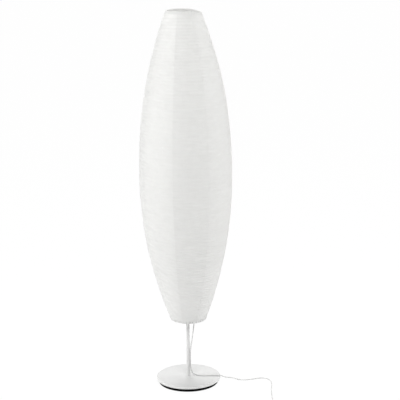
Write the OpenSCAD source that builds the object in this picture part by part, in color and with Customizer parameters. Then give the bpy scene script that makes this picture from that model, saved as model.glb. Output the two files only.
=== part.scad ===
// Paper lantern floor lamp.
// A tall spindle of ribbed white paper hangs round a thin steel pole. A wire stretcher
// holds the paper open, and sits on the shoulder of the lampholder at the pole's top.
// The pole screws into a round, weighted base. The lead leaves the lampholder, hangs
// down inside the shade, follows the pole and runs over the base to the floor.
// Millimetres. The origin is the centre of the underside, on the floor, and +Z is up.

/* [Base] */
// Diameter of the white steel cover
base_d = 212; // [180:1:260]
// Height of the cover, from its rim to its top
cover_h = 9; // [7.5:0.5:14]
// Sheet thickness of the cover
cover_wall = 1.2; // [0.8:0.1:2]
// Radius of the cover's rounded top edge
cover_edge_r = 2.5; // [1.4:0.1:4]
// How far the black tray stands in from the cover's edge
tray_inset = 7; // [4:0.5:20]
// Height of the black tray's side
tray_h = 9.5; // [8.5:0.5:16]
// Wall and floor of the tray
tray_wall = 2; // [1.6:0.1:3]
// Thickness of the rubber pad under the tray
pad_t = 1.5; // [1:0.1:3]

/* [Pole] */
// Outer diameter of the pole's tubes
pole_d = 12; // [10:0.5:16]
// Wall of the pole's tubes
pole_wall = 1; // [0.8:0.1:1.4]
// Length of the pole, both tubes together
pole_len = 680; // [560:5:800]
// Length of the threaded stud that joins the two tubes
joiner_len = 50; // [30:1:80]

/* [Lampholder] */
// Outer diameter of the holder's cap
cap_d = 40; // [38:0.5:46]
// Height of the holder's cap
cap_h = 18; // [16:0.5:24]
// Outer diameter of the holder's threaded sleeve
sleeve_d = 39; // [37.5:0.1:39.5]
// Length of the holder's threaded sleeve
sleeve_h = 34; // [32:0.5:40]
// Wall of the cap and of the sleeve
holder_wall = 1.6; // [1.2:0.1:2]
// Distance of the lead's outlet from the pole's axis
outlet_x = 13; // [12.5:0.5:14]
// Length of the tapered strain relief under the cap
relief_len = 28; // [20:1:40]

/* [Bulb] */
// Diameter of the bulb's globe
globe_d = 60; // [50:1:80]
// Length of the bulb's plastic body, from its cap to its globe
bulb_body_h = 34; // [28:1:45]

/* [Shade] */
// Diameter of the shade at its widest place
shade_d = 302; // [220:1:360]
// Diameter of the shade at its two ends
shade_end_d = 116; // [100:1:150]
// Height of the shade's lower end above the floor
shade_low = 225; // [160:1:300]
// Length of the shade
shade_len = 1015; // [900:5:1200]
// Height of the widest place above the shade's lower end
belly_h = 490; // [420:5:600]
// How full the shade's outline is: 2 is a parabola
fullness = 2.1; // [1.8:0.05:2.6]
// Thickness of the paper
paper_t = 0.6; // [0.4:0.1:1]
// Number of paper gores round the shade
gores = 8; // [8]
// Distance from one turn of the rib wire to the next
rib_pitch = 10; // [8:0.5:16]
// Diameter of the rib wire
rib_d = 1; // [0.8:0.1:1.4]
// Diameter of the wire of the two end rings
ring_wire_d = 3; // [2.4:0.1:4]

/* [Stretcher] */
// Number of rods, each with its own arm
rods = 3; // [3:1:4]
// Diameter of the rods and the arms
rod_d = 2.5; // [2:0.1:3.2]
// Wall of the sleeves that hold the rods
socket_wall = 1; // [0.8:0.1:1.4]
// Height of the sleeves that hold the rods
socket_h = 24; // [16:1:40]
// Width of the flat ring that sits on the lampholder
hub_w = 6; // [4:0.5:9]
// Thickness of the flat ring
hub_t = 2; // [1.5:0.1:3]

/* [Lead] */
// Diameter of the lead
lead_d = 3.6; // [3.2:0.1:3.8]
// Length of the foot switch
switch_l = 64; // [60:1:66]
// Width of the foot switch
switch_w = 32; // [30:1:40]
// Height of the foot switch without its button
switch_h = 19; // [18:0.5:24]
// Wall of the foot switch
switch_wall = 2; // [1.6:0.1:2.4]
// Diameter of the foot switch's button
button_d = 22; // [16:0.5:24]
// Travel of the button
button_travel = 3; // [2:0.5:3.5]
// Diameter of the plug's pins
pin_d = 4; // [3.9:0.05:4.1]
// Free length of the plug's pins
pin_len = 19; // [18.5:0.1:19.5]
// Distance between the plug's pins
pin_gap = 18.6; // [18:0.1:19.2]

/* [Hidden] */
$fn = 64;

// Clearances: between soft or loose neighbours, round a thread or a pressed pin, and
// between a cut's end and the face that it cuts through.
gap = 0.3;
fit = 0.05;
over = 1;

// Levels of the base, from the floor up.
tray_z = pad_t;
cover_z = tray_z + tray_h;
base_top = cover_z + cover_h;
tray_r = base_d / 2 - tray_inset;
weight_r = base_d / 2 - cover_wall - 3 * fit;
weight_top = base_top - cover_wall - 2 * fit;
weight_foot_z = tray_z + tray_wall + gap;
tray_screw_r = tray_r - 37.6;
tray_screw_len = 8;
tray_screw_d = 3;
tray_screw_head_d = 6;
tray_screw_head_h = 1.6;
nut_h = 3.2;
washer_h = 1.2;
pocket_top = weight_foot_z + nut_h + washer_h + 3 * fit;
pad_inset = 4;

// The thread through the base, the pole's joint and the lampholder.
bore_r = pole_d / 2 - pole_wall;
thread_r = bore_r - fit;
nut_af = 2 * bore_r + 7;
washer_r = bore_r + 8;
pocket_r = washer_r + 2;
stud_grip = 25;
nipple_wall = 1.2;
pole_top = base_top + pole_len;
pole_joint = base_top + pole_len / 2;

// The lampholder, from the pole's top up.
cap_z = pole_top;
cap_floor = 3;
cap_top = cap_z + cap_h;
holder_nut_h = 3;
holder_nut_af = 2 * bore_r + 4;
wiring_h = 5;
insert_z = cap_z + cap_floor + holder_nut_h + wiring_h;
insert_floor = 5;
insert_r = cap_d / 2 - holder_wall - 2 * fit;
well_z = insert_z + insert_floor;
screw_r = 14.2;
screw_wall = 0.7;
screw_z = well_z + 2;
sleeve_z = cap_top;
sleeve_top = sleeve_z + sleeve_h;
sleeve_r = sleeve_d / 2;
insert_in_sleeve_r = sleeve_r - holder_wall - 2 * fit;
shoulder_z = sleeve_z + 4;
shoulder_h = 3;
shoulder_r = sleeve_r + hub_w * 0.75;
hub_z = shoulder_z + shoulder_h + fit;
hub_in_r = sleeve_r + 1.6 * fit;
hub_out_r = hub_in_r + hub_w;
clamp_z = hub_z + hub_t + gap;
clamp_h = 9;
clamp_out_r = sleeve_r + 5;
clamp_flutes = 12;
flute_r = 1.4;
flute_out = 0.4;
rivet_d = 3;
terminal_x = 9;
terminal_block = [5, 7, 4.5];
terminal_y = 2.6;
terminal_foot = [2.4, 5, 1.3];
terminal_hole_d = 2.5;
tongue_w = 5;
tongue_t = 0.6;
tongue_reach = 10.5;
slot_h = 1.6;
lead_r = lead_d / 2;
relief_r = lead_r + 2.4;
relief_tip_r = lead_r + 0.9;
relief_neck_r = lead_r + 1.4;
relief_collar_h = 4;
relief_flange_h = 1.8;

// The bulb, from its contact up.
bulb_z = screw_z + 1;
bulb_cap_r = screw_r - screw_wall - gap;
bulb_cap_top = sleeve_top - 2;
contact_r = 5;
contact_h = 2;
body_z = sleeve_top + 1.5;
body_top = body_z + bulb_body_h;
body_r = globe_d / 2 - 4;
globe_r = globe_d / 2;
globe_wall = 1.2;
globe_z = body_top + sqrt(pow(globe_r, 2) - pow(body_r, 2));
body_wall = 2;
body_floor_z = body_z + body_wall;
board_z = body_top - 4;
board_t = 1.6;
body_lip = 3;
driver_w = 22;
driver_t = 1.6;
body_slope = (body_r - body_wall - bulb_cap_r) / (body_top - body_floor_z);
board_r = bulb_cap_r + body_slope * (board_z - body_floor_z) - gap;

// The shade: its outline is a power curve on either side of the widest place.
shade_top = shade_low + shade_len;
belly_z = shade_low + belly_h;
belly_r = shade_d / 2;
end_r = shade_end_d / 2;
rows = 40;
first_seam = -16;
function reach(z) = z > belly_z ? (z - belly_z) / (shade_top - belly_z) : (belly_z - z) / belly_h;
function shade_r(z) = belly_r - (belly_r - end_r) * pow(reach(z), fullness);
ring_wire_r = ring_wire_d / 2;
ring_r = end_r - paper_t - gap - ring_wire_r;
top_ring_z = shade_top - ring_wire_r;
bottom_ring_z = shade_low + ring_wire_r;
rib_in = paper_t + gap + rib_d / 2 + 3 * fit;
rib_count = floor((shade_len - 2 * rib_pitch) / rib_pitch);

// The stretcher: each rod stands inside the rings, with a foot under or over the ring.
rod_r = rod_d / 2;
rod_circle = ring_r - ring_wire_r - gap - rod_r;
rod_first_angle = 60;
rod_tip = 1;
socket_r = rod_r + fit + socket_wall;
socket_z = hub_z + hub_t / 2 - socket_h / 2;
rod_gap = 0.2;
foot_len = 2 * ring_wire_r + gap;

// The lead's route where it isn't coiled. It starts in the cap, hangs in the shade,
// leans on the pole, lies on the base, drops to the floor and ends in the foot switch.
route = [
    [outlet_x, 0, cap_z + 5], [outlet_x, 0, cap_z], [outlet_x, 0, cap_z - relief_len],
    [13.4, 0, 640], [15, -0.3, 590], [18, -0.8, 530], [21.5, -1.3, 470],
    [24.5, -1.8, 410], [26.5, -2.2, 350], [26.6, -2.6, 300], [25, -3, 255],
    [22.8, -3.2, 225], [20.6, -3.4, 205], [17.8, -3.6, 180], [14.9, -3.8, 158],
    [11.8, -3.9, 138], [9.4, -3.9, 123], [8, -3.8, 111], [7.3, -3.6, 98],
    [7.1, -3.7, 80], [7.2, -3.7, 62], [7.6, -3.7, 52], [8.5, -3.4, 44],
    [10.2, -2.8, 37], [12.8, -2, 31], [16.4, -1.3, 26.6], [21, -1.4, 23.6],
    [26, -2.8, 22.2], [32, -6, 21.9], [40, -9.4, 21.9], [51, -11.3, 21.9],
    [65, -11.5, 21.9], [80, -11.8, 21.9], [92, -12.4, 21.9], [100, -12.9, 22],
    [105.4, -12, 21.6], [110, -9.2, 18.9], [114.4, -5, 14.6], [119.4, 0.6, 9.6],
    [125.4, 6.2, 5], [132.2, 10.2, 2.5], [140, 11.2, 1.9], [148.2, 8.4, 1.9],
    [156.4, 3, 1.9], [165.4, -2, 1.9], [176, -5.2, 1.9], [188, -5.8, 1.9],
    [200, -4.6, 1.9], [212, -1.6, 1.9], [224, 3, 1.9], [236, 6.6, 1.9],
    [248, 7.4, 1.9], [259, 4.4, 1.9], [267.4, -2.8, 1.9], [273, -13.4, 1.9],
    [276, -27.5, 1.9], [276.4, -46, 1.9], [275, -72, 1.9], [272.6, -102, 1.9],
    [270.8, -132, 1.9], [270.2, -158, 1.9], [271, -182, 1.9], [272.2, -204, 1.9],
    [272.6, -222, 2.1], [272, -235, 2.6], [270.4, -242.6, 3.2], [266.6, -248.8, 4],
    [260.8, -252.8, 5.4], [254, -254, 6], [246, -254, 6], [236, -254, 6],
    [228, -254, 6]
];
middle_route = [
    [172, -254, 6], [162, -254, 6], [154, -254, 6], [146, -254, 6], [138, -254, 5],
    [132, -254, 4], [127, -254, 3.2]
];
end_route = [[97, -254, 6.4], [90, -254, 6.8], [82, -254, 7], [72, -254, 7], [60, -254, 7]];

// The coil of the length that isn't laid out: two layers of turns, held by a tie.
coil_pos = [112, -228.4, 0];
turn_step = lead_d + fit;
coil_turns = 4;
coil_turn_r = 25.6;
coil_out_r = coil_turn_r + lead_r;
coil_in_r = coil_turn_r - (coil_turns - 1) * turn_step - lead_r;
coil_z = 0.9;
coil_h = turn_step + lead_d;
tie_w = 5;
tie_t = 0.6;
tie_gap = 0.15;

// The foot switch lies along X, outside the lamp's foot.
switch_pos = [200, -254, 0];
switch_z = 0.2;
split_z = 6;
switch_edge_r = 7;
top_step = 1.5;
button_r = button_d / 2;
button_lip = 1.4;
button_top = switch_h + button_travel;
lip_top = switch_h - switch_wall - 0.2;
contact_block_h = 2.2;
switch_relief_len = 20;
switch_relief_r = lead_r + 1.4;
relief_in_r = lead_r + 0.7;
screw_boss_r = 3;
screw_inset = 6;
spring_r = 4;
spring_in_r = 3.2;
spring_z = switch_z + switch_wall + fit;
lip_z = lip_top - button_lip;
stem_len = 5;
flange_w = 1.2;
button_edge = 1;
switch_screw_r = 1;
switch_head_r = 2;
switch_head_h = 1.6;
contact_x = 12;
contact_size = [6, 12];

// The plug lies flat with its pins pointing towards -X.
plug_front = 33;
plug_body_l = 25;
plug_w = 35;
plug_t = 13.6;
plug_y = -254;
plug_z = 7;
plug_back = plug_front + plug_body_l;
plug_relief_len = 24;
pin_seat = 9;
pin_root_d = pin_d - 1;
pin_tip = 1;
pin_edge = 0.6;
plug_corner = 2;
plug_shoulder = 9;
plug_neck_r = 6;
plug_collar = 4;
plug_collar_r = lead_r + 1.6;
plug_relief_r = lead_r + 2.6;

// A ring of rectangular section, standing on z.
module tube(outer, inner, z, h) {
    translate([0, 0, z])
        difference() {
            cylinder(r = outer, h = h);
            translate([0, 0, -over]) cylinder(r = inner, h = h + 2 * over);
        }
}

// A wire bent into a level ring. Corners gives the sides of the wire's section.
module wire_ring(r, wire_r, z, corners = 24) {
    translate([0, 0, z]) rotate_extrude() translate([r, 0]) circle(r = wire_r, $fn = corners);
}

// A plate with round corners, lying on z.
module plate(l, w, r, z, h) {
    translate([0, 0, z])
        linear_extrude(h) {
            square([l - 2 * r, w], center = true);
            square([l, w - 2 * r], center = true);
            for (x = [-1, 1], y = [-1, 1]) translate([x * (l / 2 - r), y * (w / 2 - r)]) circle(r = r);
        }
}

// A hexagon prism given across its flats.
module hexagon(af, z, h) {
    translate([0, 0, z]) cylinder(r = af / 2 / cos(30), h = h, $fn = 6);
}

// A round tube swept along a list of points, with flat ends. Each ring's first corner is
// carried on from the ring before, so that the tube doesn't twist.
sides = 8;
function unit(v) = v / norm(v);
function course(p, i) = unit(p[min(i + 1, len(p) - 1)] - p[max(i - 1, 0)]);
function across(t) = unit(cross(t, abs(t[1]) < 0.9 ? [0, 1, 0] : [1, 0, 0]));
function carried(before, t) = unit(before - (before * t) * t);
function uprights(p, i = 0, before = undef) =
    i == len(p) ? [] :
    let (t = course(p, i), now = i == 0 ? across(t) : carried(before, t))
    concat([now], uprights(p, i + 1, now));
module swept(p, r) {
    turned = uprights(p);
    points = [
        for (i = [0:len(p) - 1])
            let (t = course(p, i), a = turned[i], b = cross(t, a))
            for (k = [0:sides - 1])
                p[i] + r * (cos(360 * k / sides) * a + sin(360 * k / sides) * b)
    ];
    last = (len(p) - 1) * sides;
    walls = [
        for (i = [0:len(p) - 2], k = [0:sides - 1])
            let (n = (k + 1) % sides)
            [i * sides + k, (i + 1) * sides + k, (i + 1) * sides + n, i * sides + n]
    ];
    ends = [[for (k = [0:sides - 1]) k], [for (k = [sides - 1:-1:0]) last + k]];
    polyhedron(points, concat(walls, ends), convexity = 10);
}

// Base.
module base_pad() {
    color("#181818") cylinder(r = tray_r - pad_inset, h = pad_t);
}

module at_tray_screws() {
    for (i = [0:2]) rotate(30 + 120 * i) translate([tray_screw_r, 0, 0]) children();
}

module base_tray() {
    color("#101010")
        difference() {
            translate([0, 0, tray_z]) cylinder(r = tray_r, h = tray_h - fit);
            translate([0, 0, tray_z + tray_wall]) cylinder(r = tray_r - tray_wall, h = tray_h);
            at_tray_screws() {
                translate([0, 0, tray_z - over]) cylinder(d = tray_screw_d + 2 * fit, h = tray_h);
                translate([0, 0, tray_z - over])
                    cylinder(d = tray_screw_head_d + 2 * fit, h = tray_screw_head_h + over + fit);
            }
        }
}

module tray_screws() {
    color("silver")
        at_tray_screws() translate([0, 0, tray_z + fit]) {
            cylinder(d = tray_screw_head_d, h = tray_screw_head_h);
            cylinder(d = tray_screw_d, h = tray_screw_len);
        }
}

module base_weight() {
    color("dimgray")
        difference() {
            union() {
                translate([0, 0, weight_foot_z])
                    cylinder(r = tray_r - tray_wall - gap, h = cover_z - weight_foot_z + over);
                translate([0, 0, cover_z]) cylinder(r = weight_r, h = weight_top - cover_z - cover_edge_r);
                translate([0, 0, cover_z])
                    cylinder(r = weight_r - cover_edge_r, h = weight_top - cover_z);
            }
            cylinder(r = bore_r, h = base_top);
            cylinder(r = pocket_r, h = pocket_top);
            at_tray_screws() cylinder(d = tray_screw_d + 2 * fit, h = tray_z + tray_screw_len + over);
        }
}

// Half section of a disc of height h with a rounded top edge, standing on y = 0.
module disc_section(r, h, edge) {
    square([r - edge, h]);
    square([r, h - edge]);
    translate([r - edge, h - edge]) circle(r = edge);
}

module base_cover() {
    inner_edge = max(cover_edge_r - cover_wall, 0.2);
    color("white")
        translate([0, 0, cover_z])
            rotate_extrude($fn = 128)
                difference() {
                    disc_section(base_d / 2, cover_h, cover_edge_r);
                    translate([0, -over])
                        disc_section(base_d / 2 - cover_wall, cover_h - cover_wall + over, inner_edge);
                    translate([-over, 0]) square([bore_r + over, 2 * cover_h]);
                }
}

module base_washer() {
    color("silver") tube(washer_r, bore_r, pocket_top - washer_h - fit, washer_h);
}

module base_nut() {
    color("silver")
        difference() {
            hexagon(nut_af, weight_foot_z, nut_h);
            cylinder(r = bore_r, h = base_top);
        }
}

// Pole.
module pole_stud() {
    color("silver")
        translate([0, 0, weight_foot_z]) cylinder(r = thread_r, h = base_top + stud_grip - weight_foot_z);
}

module lower_pole() {
    color("white") tube(pole_d / 2, bore_r, base_top, pole_len / 2);
}

module pole_joiner() {
    color("silver") translate([0, 0, pole_joint - joiner_len / 2]) cylinder(r = thread_r, h = joiner_len);
}

module upper_pole() {
    color("white") tube(pole_d / 2, bore_r, pole_joint, pole_len / 2);
}

module pole_nipple() {
    above = cap_floor + holder_nut_h + 1;
    color("silver") tube(thread_r, thread_r - nipple_wall, pole_top - stud_grip, stud_grip + above);
}

// Lampholder.
module holder_cap() {
    color("white")
        difference() {
            translate([0, 0, cap_z]) cylinder(r = cap_d / 2, h = cap_h - fit);
            translate([0, 0, cap_z + cap_floor]) cylinder(r = cap_d / 2 - holder_wall, h = cap_h);
            translate([0, 0, cap_z - over]) cylinder(r = bore_r, h = cap_h);
            translate([outlet_x, 0, cap_z - over]) cylinder(r = relief_neck_r + fit, h = cap_h);
        }
}

module holder_nut() {
    color("silver")
        difference() {
            hexagon(holder_nut_af, cap_z + cap_floor, holder_nut_h);
            translate([0, 0, cap_z]) cylinder(r = bore_r, h = cap_h);
        }
}

// The strain relief hangs from the cap's outlet and tapers down along the lead.
module holder_relief() {
    color("whitesmoke")
        translate([outlet_x, 0, 0])
            rotate_extrude()
                polygon([
                    [lead_r + fit, cap_z - relief_len],
                    [relief_tip_r, cap_z - relief_len],
                    [relief_r, cap_z - relief_collar_h],
                    [relief_r, cap_z],
                    [relief_neck_r, cap_z],
                    [relief_neck_r, cap_z + cap_floor + relief_flange_h],
                    [lead_r + fit, cap_z + cap_floor + relief_flange_h]
                ]);
}

module holder_insert() {
    color("whitesmoke")
        difference() {
            union() {
                translate([0, 0, insert_z]) cylinder(r = insert_r, h = cap_top - insert_z);
                translate([0, 0, insert_z]) cylinder(r = insert_in_sleeve_r, h = sleeve_top - 2 - insert_z);
            }
            translate([0, 0, well_z]) cylinder(r = screw_r + fit, h = sleeve_h + cap_h);
            for (x = [-1, 1])
                translate([x * terminal_x, 0, insert_z - over])
                    cylinder(d = rivet_d + 2 * fit, h = insert_floor + 2 * over);
        }
}

// Two terminal blocks under the insert, each with a rivet up into the well.
module terminals() {
    color("gold")
        for (x = [-1, 1])
            translate([x * terminal_x, 0, insert_z - 2 * fit])
                difference() {
                    union() {
                        translate([-terminal_block[0] / 2, terminal_y, -terminal_block[2]])
                            cube(terminal_block);
                        translate([-terminal_foot[0] / 2, -terminal_foot[0] / 2, -terminal_foot[2]])
                            cube(terminal_foot);
                        translate([0, 0, -terminal_foot[2]])
                            cylinder(d = rivet_d, h = terminal_foot[2] + insert_floor + 2 * fit);
                    }
                    translate([0, terminal_y + terminal_block[1] / 2 + 0.3, -terminal_block[2] - over])
                        cylinder(d = terminal_hole_d, h = terminal_block[2]);
                }
}

module centre_contact() {
    color("gold")
        translate([0, 0, well_z + fit]) {
            translate([-tongue_reach, -tongue_w / 2, 0]) cube([tongue_reach, tongue_w, tongue_t]);
            translate([-tongue_w / 2, -tongue_w / 2, 0])
                cube([tongue_w, tongue_w, bulb_z - well_z - 3 * fit]);
        }
}

module screw_shell() {
    color("gold")
        difference() {
            tube(screw_r, screw_r - screw_wall, well_z + fit, sleeve_top - 3 - well_z);
            translate([-cap_d, -tongue_w / 2 - 1.5, well_z - over])
                cube([cap_d, tongue_w + 3, over + slot_h]);
        }
}

module holder_sleeve() {
    color("white") {
        tube(sleeve_r, sleeve_r - holder_wall, sleeve_z, sleeve_h);
        tube(shoulder_r, sleeve_r - holder_wall, shoulder_z, shoulder_h);
    }
}

module clamp_ring() {
    color("white")
        difference() {
            tube(clamp_out_r, hub_in_r, clamp_z, clamp_h);
            for (i = [0:clamp_flutes - 1])
                rotate(360 * i / clamp_flutes)
                    translate([clamp_out_r + flute_out, 0, clamp_z - over])
                        cylinder(r = flute_r, h = clamp_h + 2 * over);
        }
}

// Bulb.
module bulb_contact() {
    color("silver") translate([0, 0, bulb_z]) cylinder(r = contact_r, h = contact_h);
}

module bulb_cap() {
    color("silver")
        translate([0, 0, bulb_z + contact_h])
            cylinder(r = bulb_cap_r, h = bulb_cap_top - bulb_z - contact_h);
}

module bulb_body() {
    color("white")
        rotate_extrude()
            polygon([
                [bulb_cap_r - body_lip, bulb_cap_top], [bulb_cap_r, bulb_cap_top], [bulb_cap_r, body_z],
                [bulb_cap_r + body_wall, body_z], [body_r, body_top], [body_r - body_wall, body_top],
                [bulb_cap_r, body_floor_z], [bulb_cap_r - body_lip, body_floor_z]
            ]);
}

module bulb_driver() {
    color("green")
        translate([-driver_w / 2, -driver_t / 2, body_floor_z + fit])
            cube([driver_w, driver_t, board_z - body_floor_z - 2 * fit]);
}

module bulb_led_board() {
    color("gainsboro") translate([0, 0, board_z]) cylinder(r = board_r, h = board_t);
}

module bulb_globe() {
    color("ghostwhite")
        translate([0, 0, globe_z])
            difference() {
                sphere(r = globe_r);
                sphere(r = globe_r - globe_wall);
                translate([0, 0, body_top + fit - globe_z - globe_r])
                    cylinder(r = globe_r + over, h = globe_r);
            }
}

// Stretcher.
module at_rods() {
    for (i = [0:rods - 1]) rotate(rod_first_angle + 360 * i / rods) children();
}

module stretcher_hub() {
    arm_r = min(rod_r, hub_t / 2 + 0.25);
    color("silver")
        difference() {
            union() {
                tube(hub_out_r, hub_in_r, hub_z, hub_t);
                at_rods() {
                    translate([hub_out_r - 1, 0, hub_z + hub_t / 2])
                        rotate([0, 90, 0]) cylinder(r = arm_r, h = rod_circle - hub_out_r + 1);
                    translate([rod_circle, 0, socket_z]) cylinder(r = socket_r, h = socket_h);
                }
            }
            at_rods()
                translate([rod_circle, 0, socket_z - over])
                    cylinder(r = rod_r + fit, h = socket_h + 2 * over);
        }
}

module lower_rods() {
    foot_z = bottom_ring_z + ring_wire_r + rod_r + fit;
    color("silver")
        at_rods() {
            translate([rod_circle, 0, shade_low - rod_tip])
                cylinder(r = rod_r, h = socket_z + socket_h / 2 - rod_gap - shade_low + rod_tip);
            translate([rod_circle, 0, foot_z]) rotate([0, 90, 0]) cylinder(r = rod_r, h = foot_len);
        }
}

module upper_rods() {
    foot_z = top_ring_z - ring_wire_r - rod_r - fit;
    color("silver")
        at_rods() {
            translate([rod_circle, 0, socket_z + socket_h / 2])
                cylinder(r = rod_r, h = shade_top - socket_z - socket_h / 2);
            translate([rod_circle, 0, foot_z]) rotate([0, 90, 0]) cylinder(r = rod_r, h = foot_len);
        }
}

// Shade.
module bottom_ring() {
    color("silver") wire_ring(ring_r, ring_wire_r, bottom_ring_z);
}

module top_ring() {
    color("silver") wire_ring(ring_r, ring_wire_r, top_ring_z);
}

module rib_wire() {
    color("wheat")
        for (i = [1:rib_count])
            let (z = shade_low + rib_pitch * (i + 0.5))
                wire_ring(shade_r(z) - rib_in, rib_d / 2, z, corners = 6);
}

module paper_gore(i) {
    levels = [for (k = [0:rows]) shade_low + shade_len * k / rows];
    color("ivory")
        rotate(first_seam + 360 * (i - 1) / gores)
            rotate_extrude(angle = 360 / gores, $fn = 96)
                polygon(concat(
                    [for (z = levels) [shade_r(z), z]],
                    [for (k = [rows:-1:0]) [shade_r(levels[k]) - paper_t, levels[k]]]
                ));
}

// Lead.
module lead() {
    color("lightgray") swept(route, lead_r);
}

module lead_middle() {
    color("lightgray") swept(middle_route, lead_r);
}

module lead_coil() {
    color("lightgray")
        translate(coil_pos)
            rotate_extrude() translate([coil_in_r, coil_z]) square([coil_out_r - coil_in_r, coil_h]);
}

module coil_tie() {
    wide = coil_out_r - coil_in_r + 4 * tie_gap;
    high = coil_h + 2 * tie_gap;
    color("white")
        translate(coil_pos + [0, (coil_in_r + coil_out_r) / 2, coil_z + coil_h / 2])
            difference() {
                cube([tie_w, wide + 2 * tie_t, high + 2 * tie_t], center = true);
                cube([tie_w + 2 * over, wide, high], center = true);
            }
}

module lead_end() {
    color("lightgray") swept(end_route, lead_r);
}

// Foot switch.
module lead_holes() {
    translate([0, 0, split_z])
        rotate([0, 90, 0])
            cylinder(r = relief_in_r + fit, h = switch_l + 2 * over, center = true);
}

module at_switch_screws() {
    for (side = [-1, 1])
        translate([side * (switch_l / 2 - screw_inset), switch_w / 2 - screw_inset, 0])
            children();
}

module switch_base() {
    color("white")
        translate(switch_pos)
            difference() {
                union() {
                    difference() {
                        plate(switch_l, switch_w, switch_edge_r, switch_z, split_z - switch_z);
                        plate(switch_l - 2 * switch_wall, switch_w - 2 * switch_wall,
                            switch_edge_r - switch_wall, switch_z + switch_wall, split_z);
                    }
                    at_switch_screws()
                        translate([0, 0, switch_z]) cylinder(r = screw_boss_r, h = split_z - switch_z);
                }
                at_switch_screws() {
                    translate([0, 0, switch_z - over])
                        cylinder(r = switch_screw_r + fit, h = split_z + 2 * over);
                    translate([0, 0, switch_z - over])
                        cylinder(r = switch_head_r + fit, h = over + switch_head_h + 4 * fit);
                }
                lead_holes();
            }
}

module switch_cover() {
    inside_top = switch_h - switch_wall;
    color("white")
        translate(switch_pos)
            difference() {
                union() {
                    difference() {
                        plate(switch_l, switch_w, switch_edge_r, split_z + fit, inside_top + 0.4 - split_z);
                        plate(switch_l - 2 * switch_wall, switch_w - 2 * switch_wall,
                            switch_edge_r - switch_wall, split_z - over, inside_top - split_z + over);
                    }
                    plate(switch_l - 2 * top_step, switch_w - 2 * top_step,
                        switch_edge_r - top_step, inside_top, switch_wall);
                    at_switch_screws()
                        translate([0, 0, split_z + fit])
                            cylinder(r = screw_boss_r, h = inside_top - split_z);
                }
                translate([0, 0, inside_top - over]) cylinder(r = button_r + 4 * fit, h = switch_h);
                at_switch_screws()
                    translate([0, 0, split_z - over])
                        cylinder(r = switch_screw_r + fit, h = over + split_z);
                lead_holes();
            }
}

module switch_contacts() {
    color("gold")
        translate(switch_pos)
            for (x = [-1, 1])
                translate([x * contact_x - contact_size[0] / 2, -contact_size[1] / 2, spring_z])
                    cube([contact_size[0], contact_size[1], contact_block_h]);
}

// The spring's envelope, round the button's stem.
module switch_spring() {
    color("silver")
        translate(switch_pos)
            tube(spring_r, spring_in_r, spring_z, lip_z - fit - spring_z);
}

module switch_button() {
    color("whitesmoke")
        translate(switch_pos) {
            translate([0, 0, lip_z]) cylinder(r = button_r + flange_w, h = button_lip);
            translate([0, 0, lip_z]) cylinder(r = button_r, h = button_top - button_edge - lip_z);
            translate([0, 0, lip_z]) cylinder(r = button_r - button_edge, h = button_top - lip_z);
            translate([0, 0, lip_z - stem_len]) cylinder(r = spring_in_r - gap, h = stem_len + over);
        }
}

module switch_screws() {
    color("silver")
        translate(switch_pos)
            at_switch_screws() {
                translate([0, 0, switch_z + fit]) cylinder(r = switch_head_r, h = switch_head_h);
                translate([0, 0, switch_z + fit]) cylinder(r = switch_screw_r, h = 2 * split_z - 2);
            }
}

module switch_reliefs() {
    inside = switch_wall + 1;
    color("whitesmoke")
        translate(switch_pos)
            for (side = [0, 180])
                rotate(side)
                    translate([switch_l / 2, 0, split_z])
                        rotate([0, 90, 0])
                            rotate_extrude()
                                polygon([
                                    [lead_r + fit, -inside], [relief_in_r, -inside], [relief_in_r, fit],
                                    [switch_relief_r, fit], [relief_in_r, switch_relief_len],
                                    [lead_r + fit, switch_relief_len]
                                ]);
}

// Plug.
module plug_body() {
    color("whitesmoke")
        translate([0, plug_y, plug_z])
            difference() {
                translate([0, 0, -plug_t / 2])
                    linear_extrude(plug_t)
                        polygon([
                            [plug_front, plug_corner - plug_w / 2], [plug_front + plug_corner, -plug_w / 2],
                            [plug_front + plug_shoulder, -plug_w / 2], [plug_back, -plug_neck_r],
                            [plug_back, plug_neck_r], [plug_front + plug_shoulder, plug_w / 2],
                            [plug_front + plug_corner, plug_w / 2], [plug_front, plug_w / 2 - plug_corner]
                        ]);
                at_pins()
                    translate([-over, 0, 0])
                        rotate([0, 90, 0]) cylinder(d = pin_root_d + 2 * fit, h = pin_seat + 2 * over);
                translate([plug_back - plug_collar - over, 0, 0])
                    rotate([0, 90, 0]) cylinder(r = plug_collar_r + fit, h = 2 * plug_collar);
            }
}

module at_pins() {
    for (side = [-1, 1]) translate([plug_front, side * pin_gap / 2, 0]) children();
}

module plug_pins() {
    color("silver")
        translate([0, plug_y, plug_z])
            at_pins()
                rotate([0, -90, 0]) {
                    translate([0, 0, -pin_seat]) cylinder(d = pin_root_d, h = pin_seat + over);
                    translate([0, 0, gap]) cylinder(d = pin_d, h = pin_len - pin_tip - gap);
                    translate([0, 0, gap]) cylinder(d = pin_d - 2 * pin_edge, h = pin_len - gap);
                }
}

module plug_relief() {
    color("whitesmoke")
        translate([plug_back, plug_y, plug_z])
            rotate([0, 90, 0])
                rotate_extrude()
                    polygon([
                        [lead_r + fit, -plug_collar], [plug_collar_r, -plug_collar], [plug_collar_r, fit],
                        [plug_relief_r, fit], [relief_in_r, plug_relief_len],
                        [lead_r + fit, plug_relief_len]
                    ]);
}

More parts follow.
